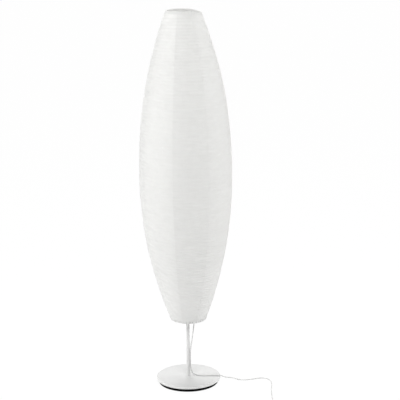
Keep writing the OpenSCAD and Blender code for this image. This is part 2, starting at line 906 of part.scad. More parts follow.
base_pad();
base_tray();
tray_screws();
base_weight();
base_cover();
pole_stud();
base_washer();
base_nut();
lower_pole();
pole_joiner();
upper_pole();
pole_nipple();
holder_cap();
holder_nut();
holder_relief();
holder_insert();
terminals();
centre_contact();
screw_shell();
holder_sleeve();
clamp_ring();
bulb_contact();
bulb_cap();
bulb_body();
bulb_driver();
bulb_led_board();
bulb_globe();
stretcher_hub();
lower_rods();
upper_rods();
bottom_ring();
top_ring();
rib_wire();
paper_gore(1);  // paper_gore_1
paper_gore(2);  // paper_gore_2
paper_gore(3);  // paper_gore_3
paper_gore(4);  // paper_gore_4
paper_gore(5);  // paper_gore_5
paper_gore(6);  // paper_gore_6
paper_gore(7);  // paper_gore_7
paper_gore(8);  // paper_gore_8
lead();
lead_middle();
lead_coil();
coil_tie();
lead_end();
switch_base();
switch_cover();
switch_contacts();
switch_spring();
switch_button();
switch_screws();
switch_reliefs();
plug_body();
plug_pins();
plug_relief();
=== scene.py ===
# %% [markdown]
# # A paper lantern floor lamp
# A tall spindle of ribbed white paper hangs round a thin steel pole on a round weighted base.
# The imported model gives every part's place and size. Here each surface gets its finish, and
# the parts whose charm is in their small forms, such as the paper, the threads and the lead,
# are modelled again in the same place.

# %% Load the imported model
import math
import random

import bmesh
import bpy
from mathutils import Matrix, Vector, noise


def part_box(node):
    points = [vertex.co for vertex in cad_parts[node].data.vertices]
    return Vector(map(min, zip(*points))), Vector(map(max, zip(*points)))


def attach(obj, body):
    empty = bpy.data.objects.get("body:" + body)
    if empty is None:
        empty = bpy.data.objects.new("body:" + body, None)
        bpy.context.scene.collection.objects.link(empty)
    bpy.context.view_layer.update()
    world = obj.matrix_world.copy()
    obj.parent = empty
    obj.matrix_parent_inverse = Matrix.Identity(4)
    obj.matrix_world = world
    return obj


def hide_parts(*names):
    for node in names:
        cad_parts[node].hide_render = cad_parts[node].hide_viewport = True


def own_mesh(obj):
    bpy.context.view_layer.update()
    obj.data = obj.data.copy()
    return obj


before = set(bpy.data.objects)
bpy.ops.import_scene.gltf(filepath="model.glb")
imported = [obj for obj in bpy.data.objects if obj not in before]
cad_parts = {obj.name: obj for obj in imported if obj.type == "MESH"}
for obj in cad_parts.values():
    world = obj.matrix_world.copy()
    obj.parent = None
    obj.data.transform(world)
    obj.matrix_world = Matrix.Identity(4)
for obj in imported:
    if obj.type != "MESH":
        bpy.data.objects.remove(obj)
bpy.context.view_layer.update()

MM = 0.001

# %% [markdown]
# ## The camera
# The photograph was taken with a long lens from four metres away, a little above the shade's
# middle, and the lamp leans by half a degree in it. The lean is given to the camera, so that
# the lamp itself stands upright.

# %% Camera
frame_px = 400
focal_px = 1251
eye = Vector((0, -3.958, 1.582))
yaw, pitch, roll = (math.radians(a) for a in (-0.655, 13.582, -0.657))


def add_object(name, data):
    """Puts an object with this data into the scene."""
    made = bpy.data.objects.new(name, data)
    bpy.context.scene.collection.objects.link(made)
    return made


def make_camera():
    """The camera of the photograph, with its focal length given in pixels of the picture."""
    data = bpy.data.cameras.new("camera")
    data.sensor_width = 36
    data.lens = data.sensor_width * focal_px / frame_px
    camera = add_object("camera", data)
    turn = Matrix.Rotation(yaw, 4, "Z") @ Matrix.Rotation(math.pi / 2 - pitch, 4, "X")
    camera.matrix_world = Matrix.Translation(eye) @ turn @ Matrix.Rotation(roll, 4, "Z")
    bpy.context.scene.camera = camera
    return camera


print("lens %.1f mm" % make_camera().data.lens)

# %% [markdown]
# ## Helpers for materials
# A finish is one Principled shader whose colour, roughness and relief vary a little, because
# no real surface is even. Every pattern reads the object's own coordinates, so it stays on the
# part when the part moves. A scale of 1000 gives features about a millimetre across.


# %% Shader nodes
def fill(material, shader, inputs):
    """Gives a node's sockets, by name or number, their values or links other sockets to them."""
    for key, value in dict(inputs).items():
        socket = shader.inputs[key]
        if isinstance(value, bpy.types.NodeSocket):
            material.node_tree.links.new(value, socket)
        else:
            socket.default_value = (*value, 1) if socket.type == "RGBA" else value


def node(material, kind, inputs=(), **settings):
    """Adds a shader node with its settings, and fills its sockets."""
    made = material.node_tree.nodes.new("ShaderNode" + kind)
    for key, value in settings.items():
        setattr(made, key, value)
    fill(material, made, inputs)
    return made


def shader_of(material):
    return material.node_tree.nodes["Principled BSDF"]


def finish(name, colour, roughness, more=()):
    """A material with one Principled shader. more maps further sockets to their values."""
    material = bpy.data.materials.new(name)
    material.use_nodes = True
    fill(material, shader_of(material), {"Base Color": colour, "Roughness": roughness, **dict(more)})
    material.diffuse_color = (*colour, 1)
    return material


def own_place(material):
    """The object's own coordinates."""
    return node(material, "TexCoord").outputs["Object"]


def speckle(material, scale, detail=3.0, stretch=(1, 1, 1)):
    """A noise pattern on the object's own coordinates, as a socket from 0 to 1."""
    place = node(material, "Mapping", {"Vector": own_place(material), "Scale": stretch})
    return node(material, "TexNoise", {"Vector": place.outputs["Vector"], "Scale": scale,
                                       "Detail": detail}).outputs["Fac"]


def spread(material, value, low, high, start=0.3, end=0.7):
    """Maps a pattern's middle part onto the range from low to high."""
    return node(material, "MapRange", {"Value": value, "From Min": start, "From Max": end,
                                       "To Min": low, "To Max": high}).outputs["Result"]


def calc(material, operation, *values):
    """A Math node on sockets or numbers."""
    return node(material, "Math", dict(enumerate(values)), operation=operation).outputs[0]


def blend(material, share, first, second):
    """A mix of two colours by a pattern."""
    made = node(material, "Mix", {"Factor": share, 6: first, 7: second}, data_type="RGBA")
    return made.outputs[2]


def mix_shaders(material, share, first, second):
    """Makes a mix of two shaders the material's surface."""
    both = node(material, "MixShader", {0: share, 1: first, 2: second})
    fill(material, material.node_tree.nodes["Material Output"], {"Surface": both.outputs[0]})


# %% What varies in a finish
def tone(material, scale, other):
    """Varies the colour between the material's own and another."""
    shader = shader_of(material)
    own = tuple(shader.inputs["Base Color"].default_value)[:3]
    share = spread(material, speckle(material, scale), 0, 1)
    fill(material, shader, {"Base Color": blend(material, share, own, other)})


def gloss(material, pattern, low, high):
    """Varies the roughness, as handling and moulding do."""
    fill(material, shader_of(material), {"Roughness": spread(material, pattern, low, high)})


def relief(material, height, distance, strength):
    """Raises the surface by a pattern. The distance is the real height in metres."""
    inputs = {"Height": height, "Distance": distance, "Strength": strength}
    normal = shader_of(material).inputs["Normal"]
    if normal.is_linked:
        inputs["Normal"] = normal.links[0].from_socket
    bump = node(material, "Bump", inputs)
    fill(material, shader_of(material), {"Normal": bump.outputs["Normal"]})


def varied(material, other, patch, shine=(), grain=()):
    """A finish whose colour drifts to another over patches of a scale. shine is a scale, with the
    lowest and highest roughness. grain is a scale, its detail, the real height and a strength."""
    tone(material, patch, other)
    if shine:
        scale, *roughness = shine
        gloss(material, speckle(material, scale), *roughness)
    if grain:
        scale, detail, *height = grain
        relief(material, speckle(material, scale, detail), *height)
    return material


# %% [markdown]
# ## The metals
# The base and the pole are steel under a white powder coat. The powder melts into a skin with
# a very fine orange peel, so it shines softly and never like glass. The hidden fasteners are
# zinc plated, with the patchy crystals of the plating, and the weight is raw cast iron.


# %% Metal finishes
def powder_coat():
    made = finish("powder_coat", (0.758, 0.758, 0.753), 0.42, {"Coat Weight": 0.1})
    return varied(made, (0.735, 0.737, 0.73), 18, (60, 0.36, 0.48), (700, 2, 0.06 * MM, 0.5))


def coated_wire():
    made = finish("coated_wire", (0.78, 0.78, 0.775), 0.4)
    return varied(made, (0.72, 0.72, 0.71), 90, (200, 0.32, 0.5), (900, 2, 0.05 * MM, 0.6))


def zinc_plate():
    made = finish("zinc_plate", (0.72, 0.73, 0.75), 0.35, {"Metallic": 1})
    cells = node(made, "TexVoronoi", {"Vector": own_place(made), "Scale": 420})
    share = spread(made, cells.outputs["Distance"], 0, 1, 0, 0.7)
    crystals = blend(made, share, (0.62, 0.63, 0.66), (0.78, 0.79, 0.8))
    fill(made, shader_of(made), {"Base Color": crystals})
    gloss(made, speckle(made, 300), 0.25, 0.5)
    return made


def cast_iron():
    made = finish("cast_iron", (0.2, 0.2, 0.21), 0.7, {"Metallic": 0.6})
    return varied(made, (0.27, 0.25, 0.24), 40, (120, 0.6, 0.85), (350, 6, 0.5 * MM, 0.8))


def polished(name, colour, stain):
    """Brass or nickel, with fine turning lines round the axis and a little tarnish."""
    made = finish(name, colour, 0.22, {"Metallic": 1})
    tone(made, 150, stain)
    lines = speckle(made, 60, 4, (1, 1, 40))
    gloss(made, lines, 0.16, 0.34)
    relief(made, lines, 0.03 * MM, 0.5)
    return made


# %% [markdown]
# ## The plastics and the rest
# The moulded parts differ in their gloss and grain: the lampholder is smooth, the foot switch
# and plug have a fine spark-eroded grain, and the tray is black and matte. The lead's sheath is
# soft and slightly waxy. Ceramic has a glaze with a faint waviness under it.

# %% Plastic, rubber, ceramic and glass finishes
black, near_black = (0.002, 0.002, 0.002), (0.004, 0.004, 0.004)
dull = {"Specular IOR Level": 0.05}


def moulded(name, colour, other, roughness, grain_scale, grain_height, more=()):
    """An injection-moulded plastic with its flow marks and the grain of its tool."""
    return varied(finish(name, colour, roughness, more), other, 25,
                  (90, roughness - 0.06, roughness + 0.06), (grain_scale, 4, grain_height, 0.6))


def rubber():
    return varied(finish("rubber", black, 0.95, dull), near_black, 60, (), (900, 4, 0.1 * MM, 0.8))


def glazed_ceramic():
    made = finish("glazed_ceramic", (0.85, 0.84, 0.8), 0.2, {"Coat Weight": 0.6})
    return varied(made, (0.8, 0.78, 0.73), 60, (), (120, 2, 0.2 * MM, 0.4))


def circuit_board():
    made = finish("circuit_board", (0.78, 0.8, 0.78), 0.5)
    tracks = node(made, "TexBrick", {"Vector": own_place(made), "Scale": 120, "Mortar Size": 0.03})
    lacquer = blend(made, tracks.outputs["Fac"], (0.8, 0.82, 0.8), (0.25, 0.42, 0.3))
    fill(made, shader_of(made), {"Base Color": lacquer})
    return made


def opal_glass():
    made = finish("opal_glass", (0.9, 0.9, 0.885), 0.35, {
        "Coat Weight": 0.3, "Subsurface Weight": 0.3, "Subsurface Radius": (0.01, 0.01, 0.009)})
    return varied(made, (0.87, 0.87, 0.85), 40, (), (500, 2, 0.05 * MM, 0.4))


# %% [markdown]
# ## The paper
# Lantern paper is thin, white and long-fibred. Held against the light it is cloudy, and single
# fibres cross it in all directions. A thin line where a noise pattern passes one value makes a
# fibre, and a second pattern breaks the line into lengths. Some light comes through the sheet,
# so a Translucent shader is mixed in. A value stored on each piece's points greys the paper: it
# gives each strip a slightly different white, with the front strip set greyer than the one left
# of it as painted shade of the side light, and it paints shade into the grooves of the pleated
# binding.

# %% Lantern paper
paper_white = (0.925, 0.925, 0.916)
paper_cloud = (0.90, 0.90, 0.89)
# The grey that the stored value blends towards: for the strips' greys and for painted shade in the
# binding's pleats.
paper_shade_grey = (0.55, 0.55, 0.54)
fibre_white = (0.95, 0.95, 0.945)
see_through = 0.36


def fibres(material, scale, cut_scale, width):
    """Thin curved lines, broken into lengths by a second pattern."""
    line = calc(material, "ABSOLUTE", spread(material, speckle(material, scale, 1), -1, 1, 0, 1))
    cut = spread(material, speckle(material, cut_scale, 2), 0, 1, 0.45, 0.6)
    return calc(material, "MULTIPLY", spread(material, line, 1, 0, 0, width), cut)


def lantern_paper():
    made = finish("lantern_paper", paper_white, 0.85,
                  {"Sheen Weight": 0.08, "Sheen Roughness": 0.6, "Specular IOR Level": 0.2})
    cloud = blend(made, spread(made, speckle(made, 55, 5), 0, 1), paper_white, paper_cloud)
    web = calc(made, "MAXIMUM", fibres(made, 70, 30, 0.02), fibres(made, 150, 55, 0.025))
    # The stored value greys the paper: a grey per strip, partly painted shade, and painted shade in the
    # pleat grooves.
    tone_and_painted_shade = node(made, "Attribute", attribute_name="tone_and_painted_shade").outputs["Fac"]
    colour = blend(made, tone_and_painted_shade, blend(made, web, cloud, fibre_white), paper_shade_grey)
    shader = shader_of(made)
    fill(made, shader, {"Base Color": colour})
    relief(made, speckle(made, 420, 5), 0.25 * MM, 0.5)
    relief(made, web, 0.12 * MM, 0.5)
    normal = shader.inputs["Normal"].links[0].from_socket
    through = node(made, "BsdfTranslucent", {"Color": colour, "Normal": normal})
    mix_shaders(made, see_through, shader.outputs[0], through.outputs[0])
    return made


# %% Every finish, under the record's name for it
finishes = {
    "pad": rubber(),
    "tray": moulded("black_plastic", black, near_black, 0.9, 700, 0.1 * MM, dull),
    "zinc": zinc_plate(),
    "iron": cast_iron(),
    "white_paint": powder_coat(),
    "holder_plastic": moulded("holder_plastic", (0.82, 0.82, 0.8), (0.8, 0.8, 0.775), 0.3,
                              300, 0.04 * MM, {"Coat Weight": 0.3}),
    "ceramic": glazed_ceramic(),
    "brass": polished("bright_brass", (0.8, 0.62, 0.3), (0.66, 0.48, 0.22)),
    "nickel": polished("nickel_plate", (0.75, 0.74, 0.72), (0.66, 0.65, 0.62)),
    "bulb_plastic": moulded("bulb_plastic", (0.85, 0.85, 0.84), (0.83, 0.83, 0.815), 0.4,
                            500, 0.05 * MM),
    "board": circuit_board(),
    "opal": opal_glass(),
    "stretcher_wire": coated_wire(),
    "rib": moulded("rib_coating", (0.74, 0.73, 0.69), (0.66, 0.64, 0.58), 0.55, 900, 0.04 * MM),
    "paper": lantern_paper(),
    "lead_plastic": moulded("cable_sheath", (0.69, 0.69, 0.685), (0.66, 0.66, 0.65), 0.48,
                            500, 0.05 * MM),
    "tie": moulded("tie_plastic", (0.85, 0.85, 0.84), (0.8, 0.8, 0.79), 0.4, 800, 0.04 * MM),
    "switch_plastic": moulded("switch_plastic", (0.8, 0.8, 0.79), (0.78, 0.78, 0.765), 0.45,
                              800, 0.08 * MM),
    "plug_plastic": moulded("plug_plastic", (0.78, 0.78, 0.77), (0.75, 0.75, 0.74), 0.45,
                            800, 0.08 * MM),
}
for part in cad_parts.values():
    for slot in part.material_slots:
        slot.material = finishes[slot.material.name]
print("finishes", len(finishes))

# %% [markdown]
# ## Helpers for pieces
# Most parts of a lamp are turned on a lathe, so one helper turns an outline round the Z axis,
# and another rounds the outline's corners first. A wire is a curve with a round section, made
# a mesh at the end. A spring, a coil and the shade's rib are all wound, so they share the loop
# that goes round. A hole is cut with a Boolean whose result is kept.


# %% Boxes and finished pieces
def ends(part):
    """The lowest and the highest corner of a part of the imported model."""
    return [Vector(corner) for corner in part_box(part)]


def low(part):
    return ends(part)[0]


def high(part):
    return ends(part)[1]


def middle(part):
    return (low(part) + high(part)) / 2


def half_width(part):
    return (high(part).x - low(part).x) / 2


def mesh_of(bm, name="part"):
    """A mesh with what bm holds. It uses bm up."""
    mesh = bpy.data.meshes.new(name)
    bm.to_mesh(mesh)
    bm.free()
    return mesh


def declare(made, body, nodes):
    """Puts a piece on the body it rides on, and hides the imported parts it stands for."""
    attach(made, body)
    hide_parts(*nodes)
    return made


def piece(name, bm, body, slot, nodes, crease=35):
    """A finished mesh piece. Edges bent by more than crease degrees stay sharp."""
    mesh = mesh_of(bm, name)
    mesh.polygons.foreach_set("use_smooth", [True] * len(mesh.polygons))
    mesh.set_sharp_from_angle(angle=math.radians(crease))
    mesh.materials.append(finishes[slot])
    print(f"{name}: {len(mesh.polygons)} faces")
    return declare(add_object(name, mesh), body, nodes)


def smooth(value, start, end):
    """0 before start, 1 after end, and an even curve between them."""
    t = min(max((value - start) / (end - start), 0), 1)
    return t * t * (3 - 2 * t)


def around(radius, angle, z):
    """The point at a radius, an angle round the Z axis and a height."""
    return Vector((radius * math.cos(angle), radius * math.sin(angle), z))


def winding(turns, steps, point_at):
    """A wound path with so many steps to a turn. point_at gives the point after some turns."""
    return [point_at(k / steps) for k in range(round(turns * steps) + 1)]


# %% Outlines and turned parts
def corner_arc(before, here, after, radius, steps):
    """The arc that rounds the corner at here, as points from one side to the other."""
    back = (before - here).normalized()
    on = (after - here).normalized()
    half = back.angle(on) / 2
    centre = here + (back + on).normalized() * radius / math.sin(half)
    first = here + back * radius / math.tan(half) - centre
    last = here + on * radius / math.tan(half) - centre
    sweep = math.pi - 2 * half
    return [centre + (first * math.sin(sweep * (1 - k / steps)) + last * math.sin(sweep * k / steps))
            / math.sin(sweep) for k in range(steps + 1)]


def rounded(corners, steps=6):
    """The outline through (x, y, radius) corners, each rounded by an arc of its radius."""
    outline = []
    for i, (x, y, radius) in enumerate(corners):
        before = Vector(corners[i - 1][:2])
        after = Vector(corners[(i + 1) % len(corners)][:2])
        here = Vector((x, y))
        outline += corner_arc(before, here, after, radius, steps) if radius else [here]
    return outline


def spun(outline, angle, steps, **how):
    """A closed outline of (radius, height) points, carried round the Z axis by an angle."""
    bm = bmesh.new()
    ring = [bm.verts.new((r, 0, z)) for r, z in outline]
    edges = [bm.edges.new((a, b)) for a, b in zip(ring, ring[1:] + ring[:1])]
    bmesh.ops.spin(bm, geom=ring + edges, cent=(0, 0, 0), axis=(0, 0, 1), angle=angle,
                   steps=steps, **how)
    return bm


def turned(outline, steps=96):
    """A closed outline turned a full circle about the Z axis."""
    bm = spun(outline, math.tau, steps, use_merge=True)
    bmesh.ops.remove_doubles(bm, verts=bm.verts, dist=1e-6)
    bmesh.ops.dissolve_degenerate(bm, edges=bm.edges, dist=1e-7)
    bmesh.ops.delete(bm, geom=[e for e in bm.edges if not e.link_faces], context="EDGES")
    bmesh.ops.recalc_face_normals(bm, faces=bm.faces)
    return bm


def bar(radius, bottom, top, steps=32):
    """A round bar along the Z axis."""
    return turned([(0, bottom), (radius, bottom), (radius, top), (0, top)], steps)


def collar(inner, outer, bottom, top, edge, steps=96):
    """A turned ring of rectangular section with its edges rounded."""
    return turned(rounded([(inner, bottom, edge), (outer, bottom, edge),
                           (outer, top, edge), (inner, top, edge)]), steps)


def pressed(bm, depth):
    """Moves each point towards the Z axis by depth(radius, angle, height)."""
    for vert in bm.verts:
        across = Vector((vert.co.x, vert.co.y, 0))
        angle = math.atan2(vert.co.y, vert.co.x)
        vert.co -= across.normalized() * depth(across.length, angle, vert.co.z)
    return bm


def joined(*parts):
    """Several bmeshes as one."""
    whole = bmesh.new()
    for part in parts:
        mesh = mesh_of(part)
        whole.from_mesh(mesh)
        bpy.data.meshes.remove(mesh)
    return whole


def moved(bm, place, turn=Matrix.Identity(4)):
    """Turns bm about the origin and moves it to a place."""
    bm.transform(Matrix.Translation(place) @ turn)
    return bm


# %% Wires
def round_curve(name, radius, sides):
    """An empty curve with a round section and closed ends."""
    data = bpy.data.curves.new(name, "CURVE")
    data.dimensions = "3D"
    data.bevel_depth = radius
    data.bevel_resolution = sides
    data.use_fill_caps = True
    return data


def wires(paths, radius, closed=False, sides=3):
    """Round wires along lists of points, as one bmesh."""
    data = round_curve("wire", radius, sides)
    for points in paths:
        spline = data.splines.new("POLY")
        spline.points.add(len(points) - 1)
        spline.use_cyclic_u = closed
        for knot, point in zip(spline.points, points):
            knot.co = (*point, 1)
    holder = bpy.data.objects.new("wire", data)
    mesh = bpy.data.meshes.new_from_object(holder)
    bm = bmesh.new()
    bm.from_mesh(mesh)
    bmesh.ops.remove_doubles(bm, verts=bm.verts, dist=1e-7)
    bmesh.ops.recalc_face_normals(bm, faces=bm.faces)
    bpy.data.meshes.remove(mesh)
    bpy.data.objects.remove(holder)
    bpy.data.curves.remove(data)
    return bm


def bend(points, radius):
    """Rounds the inner corners of a path with arcs."""
    path = [points[0]]
    for before, here, after in zip(points, points[1:], points[2:]):
        path += corner_arc(before, here, after, radius, 6)
    return path + [points[-1]]


# %% Blocks and cut-outs
def soften(bm, edges, offset, segments):
    """Rounds some edges of bm."""
    bmesh.ops.bevel(bm, geom=edges, offset=offset, affect="EDGES", segments=segments,
                    profile=0.5, material=-1)


def edges_along(bm, axis):
    """The edges of a plain box along an axis: 0 for X, 1 for Y and 2 for Z."""
    return [e for e in bm.edges if abs((e.verts[0].co - e.verts[1].co).normalized()[axis]) > 0.9]


def plain_box(lowest, highest):
    """A box between two corners."""
    bm = bmesh.new()
    bmesh.ops.create_cube(bm, size=1)
    bmesh.ops.scale(bm, vec=highest - lowest, verts=bm.verts)
    bmesh.ops.translate(bm, vec=(lowest + highest) / 2, verts=bm.verts)
    return bm


def block(lowest, highest, corner, bottom_edge=0.0, top_edge=0.0):
    """A box with round upright corners, and edges softened at its bottom and top."""
    bm = plain_box(Vector(lowest), Vector(highest))
    soften(bm, edges_along(bm, 2), corner, 6)
    for z, offset in ((lowest[2], bottom_edge), (highest[2], top_edge)):
        if offset:
            rim = [e for e in bm.edges if all(abs(v.co.z - z) < 0.001 * MM for v in e.verts)]
            soften(bm, rim, offset, 4)
    return bm


def carved(bm, *cutters):
    """Cuts each cutter out of bm, and gives back what is left."""
    for cutter in cutters:
        holders = [add_object("cut", mesh_of(source)) for source in (bm, cutter)]
        cut = holders[0].modifiers.new("cut", "BOOLEAN")
        cut.operation = "DIFFERENCE"
        cut.solver = "EXACT"
        cut.object = holders[1]
        bm = bmesh.new()
        bm.from_object(holders[0], bpy.context.evaluated_depsgraph_get())
        for holder in holders:
            mesh = holder.data
            bpy.data.objects.remove(holder)
            bpy.data.meshes.remove(mesh)
    return bm


# %% [markdown]
# ## The lead
# One lead carries the current from the lampholder to the foot switch, and a second from the
# switch to the plug. It is a soft round cable, so each length is one smooth curve through the
# points of its route. The length that isn't laid out is wound into a neat coil of two layers.
# Each turn keeps its radius and steps over to the next within a sixth of a turn, as a hand
# winds it.

# %% Routes of the lead
lead_d = 3.6 * MM
lead_top = low("holder_cap").z
outlet = Vector((13 * MM, 0, lead_top))
route_mm = [
    (13, 0, 705), (13, 0, 700), (13, 0, 672), (13.4, 0, 640), (15, -0.3, 590), (18, -0.8, 530),
    (21.5, -1.3, 470), (24.5, -1.8, 410), (26.5, -2.2, 350), (26.6, -2.6, 300), (25, -3, 255),
    (22.8, -3.2, 225), (20.6, -3.4, 205), (17.8, -3.6, 180), (14.9, -3.8, 158),
    (11.8, -3.9, 138), (9.4, -3.9, 123), (8, -3.8, 111), (7.3, -3.6, 98), (7.1, -3.7, 80),
    (7.2, -3.7, 62), (7.6, -3.7, 52), (8.5, -3.4, 44), (10.2, -2.8, 37), (12.8, -2, 31),
    (16.4, -1.3, 26.6), (21, -1.4, 23.6), (26, -2.8, 22.2), (32, -6, 21.9), (40, -9.4, 21.9),
    (51, -11.3, 21.9), (65, -11.5, 21.9), (80, -11.8, 21.9), (92, -12.4, 21.9), (100, -12.9, 22),
    (105.4, -11.6, 21.8), (110.2, -8, 19.6), (114.4, -2.6, 15.4), (119.2, 5, 10.4), (125.2, 12, 5.6),
    (132.4, 17, 2.6), (140.6, 17.8, 1.9), (149, 13.6, 1.9), (157, 6.8, 1.9), (165.6, 0.2, 1.9),
    (176, -5.2, 1.9), (188, -5.8, 1.9), (200, -4.6, 1.9), (212, -1.6, 1.9), (224, 3, 1.9),
    (236, 6.6, 1.9), (248, 7.4, 1.9), (259, 4.4, 1.9), (267.4, -2.8, 1.9), (273, -13.4, 1.9),
    (276, -27.5, 1.9), (276.4, -46, 1.9), (275, -72, 1.9), (272.6, -102, 1.9),
    (270.8, -132, 1.9), (270.2, -158, 1.9), (271, -182, 1.9), (272.2, -204, 1.9),
    (272.6, -222, 2.1), (272, -235, 2.6), (270.4, -242.6, 3.2), (266.6, -248.8, 4),
    (260.8, -252.8, 5.4), (254, -254, 6), (246, -254, 6), (236, -254, 6), (228, -254, 6),
]
middle_route_mm = [(172, -254, 6), (162, -254, 6), (154, -254, 6), (146, -254, 5.8),
                   (138, -254, 4.8), (130, -254, 3.6), (121, -254, 2.8)]
end_route_mm = [(103, -254, 6.4), (97, -254, 6.4), (90, -254, 6.8), (82, -254, 7),
                (72, -254, 7), (60, -254, 7)]

# %% The coil's turns
coil_low, coil_high = ends("lead_coil")
coil_centre = middle("lead_coil").xy.to_3d()
coil_turn_r = half_width("lead_coil") - lead_d / 2
turn_step = 3.65 * MM
coil_turns = 4
step_over = 1 / 6


def coil_radius(turns):
    """The radius after so many turns: in through the first layer and out through the second."""
    whole = math.floor(turns)
    moved_on = whole + smooth(turns - whole, 1 - step_over, 1)
    place = min(moved_on, 2 * coil_turns - 1 - moved_on)
    return coil_turn_r - min(place, coil_turns - 1) * turn_step


def coil_point(turns):
    """A point of the coil, which runs clockwise from above, from its front to its front again."""
    rise = smooth(turns, coil_turns - step_over, coil_turns)
    height = coil_low.z + lead_d / 2 + (coil_high.z - coil_low.z - lead_d) * rise
    return coil_centre + around(coil_radius(turns), -math.pi / 2 - math.tau * turns, height)


# %% Two lengths of cable
def metres(points):
    """Points in metres from points in millimetres."""
    return [Vector(point) * MM for point in points]


def cable(name, points, nodes):
    """A round cable as one open spline through the points."""
    data = round_curve(name, lead_d / 2, 3)
    data.resolution_u = 5
    spline = data.splines.new("BEZIER")
    spline.bezier_points.add(len(points) - 1)
    for knot, point in zip(spline.bezier_points, points):
        knot.co = point
        knot.handle_left_type = knot.handle_right_type = "AUTO"
    data.materials.append(finishes["lead_plastic"])
    print("%s: %.3f m" % (name, spline.calc_length()))
    return declare(add_object(name, data), "stand", nodes)


long_lead = cable("long_lead", metres(route_mm), ["lead"])
coil = winding(2 * coil_turns, 24, coil_point)
coiled_lead = cable("coiled_lead", metres(middle_route_mm) + coil + metres(end_route_mm),
                    ["lead_middle", "lead_coil", "lead_end"])

# %% [markdown]
# ## Strain reliefs
# Where a lead enters a housing, a soft tapered sleeve keeps it from being bent sharply. It is
# turned from an outline whose edge steps in and out, so that the sleeve bends like a bellows.

# %% Where the reliefs sit
switch_low, switch_high = low("switch_base"), high("switch_cover")
switch_split = high("switch_base").z
switch_axis = middle("switch_cover").xy
plug_low, plug_high = ends("plug_body")
plug_y, plug_z = middle("plug_body").yz
to_right = Matrix.Rotation(math.pi / 2, 4, "Y")
to_left = Matrix.Rotation(-math.pi / 2, 4, "Y")
upside_down = Matrix.Rotation(math.pi, 4, "X")


# %% Reliefs
def relief_sleeve(length, thick, thin, neck, neck_len):
    """A tapered sleeve standing on z = 0, with a neck below it that sits in the housing."""
    bore = lead_d / 2 + 0.05 * MM
    groove, ridges = 0.35 * MM, 6
    outline = [(bore, -neck_len), (neck, -neck_len), (neck, 0), (thick, 0.05 * MM)]
    for k in range(ridges):
        for share, depth in ((0.1, 0), (0.55, 0), (0.65, 1), (0.9, 1)):
            at = (k + share) / ridges
            outline.append((thick + (thin - thick) * at - depth * groove, length * at))
    outline += [(thin, length * 0.995), (bore + 0.2 * MM, length), (bore, length)]
    return turned(outline, 40)


def relief_piece(name, sizes_mm, place, turn, slot, part):
    """A sleeve of these sizes in millimetres, turned and put in its place."""
    sleeve = relief_sleeve(*(size * MM for size in sizes_mm))
    return piece(name, moved(sleeve, place, turn), "stand", slot, [part])


holder_relief = relief_piece("lead_outlet_sleeve", (28, 4.2, 2.7, 3.2, 4.8), outlet, upside_down,
                             "lead_plastic", "holder_relief")
switch_sleeves = [
    relief_piece(name, (20, 3.2, 2.5, 2.5, 3), (x, switch_axis.y, switch_split), turn,
                 "switch_plastic", "switch_reliefs")
    for name, x, turn in (("switch_sleeve_right", switch_high.x, to_right),
                          ("switch_sleeve_left", switch_low.x, to_left))]
plug_sleeve = relief_piece("plug_sleeve", (24, 4.4, 2.5, 3.4, 4), (plug_high.x, plug_y, plug_z),
                           to_right, "plug_plastic", "plug_relief")

# %% [markdown]
# ## The foot switch
# Two moulded halves meet on a level seam and are screwed together from below. Each half is a
# block with round corners, hollowed by a smaller block, and the cover has a round hole for the
# button. The button is turned, with a dished top that the toe finds, and a coil spring under it
# is squashed as it goes down.

# %% Switch halves
switch_wall = 2 * MM
switch_corner = 7 * MM
hollow_over = 5 * MM
seam_gap = 0.05 * MM
button_r = 11 * MM
lead_hole_r = 2.55 * MM


def switch_half(bottom, top, hollow_bottom, hollow_top, bottom_edge, top_edge):
    """One half of the housing, open on the side of the seam."""
    wall = Vector((switch_wall, switch_wall))
    outer = block((*switch_low.xy, bottom), (*switch_high.xy, top),
                  switch_corner, bottom_edge, top_edge)
    hollow = block((*(switch_low.xy + wall), hollow_bottom), (*(switch_high.xy - wall), hollow_top),
                   switch_corner - switch_wall)
    hole = moved(bar(lead_hole_r, -40 * MM, 40 * MM), (*switch_axis, switch_split), to_right)
    return carved(outer, hollow, hole)


foot_switch_base = piece(
    "foot_switch_base",
    switch_half(switch_low.z, switch_split, switch_low.z + switch_wall, switch_split + hollow_over,
                0.8 * MM, 0.4 * MM),
    "stand", "switch_plastic", ["switch_base"])
cover_half = switch_half(switch_split + seam_gap, switch_high.z, switch_split - hollow_over,
                         switch_high.z - switch_wall, 0.4 * MM, 2.6 * MM)
button_hole = moved(bar(button_r + 0.2 * MM, -6 * MM, 6 * MM, 64), (*switch_axis, switch_high.z))
foot_switch_cover = piece("foot_switch_cover", carved(cover_half, button_hole),
                          "stand", "switch_plastic", ["switch_cover"])

# %% Switch button
button_low, button_high = ends("switch_button")
button_lip_z = switch_high.z - 3.6 * MM
button_lip_t = 1.4 * MM
button_lip_r = button_r + 1.2 * MM
stem_r = 2.9 * MM
dish = 0.9 * MM
button_outline = rounded([
    (0, button_low.z, 0), (stem_r, button_low.z, 0.4 * MM), (stem_r, button_lip_z, 0),
    (button_lip_r, button_lip_z, 0.2 * MM), (button_lip_r, button_lip_z + button_lip_t, 0.2 * MM),
    (button_r, button_lip_z + button_lip_t, 0.2 * MM), (button_r, button_high.z, 1.2 * MM),
    (button_r - 3 * MM, button_high.z, 1 * MM), (button_r - 5 * MM, button_high.z - dish, 3 * MM),
    (0, button_high.z - dish, 0)])
toe_button = piece("toe_button", moved(turned(button_outline), (*switch_axis, 0)),
                   "button", "switch_plastic", ["switch_button"])

# %% Button spring
spring_low, spring_high = ends("switch_spring")
spring_wire_r = 0.4 * MM
spring_r = half_width("switch_spring") - spring_wire_r
spring_tall = spring_high.z - spring_low.z
spring_turns = 5


def spring_point(turns):
    """A point of the spring. Its first and last turns lie flat, and the ones between are open."""
    climb = (spring_tall - 2 * spring_wire_r) * smooth(turns, 0.6, spring_turns - 0.6)
    height = spring_low.z + spring_wire_r + climb
    return around(spring_r, math.tau * turns, height) + switch_axis.to_3d()


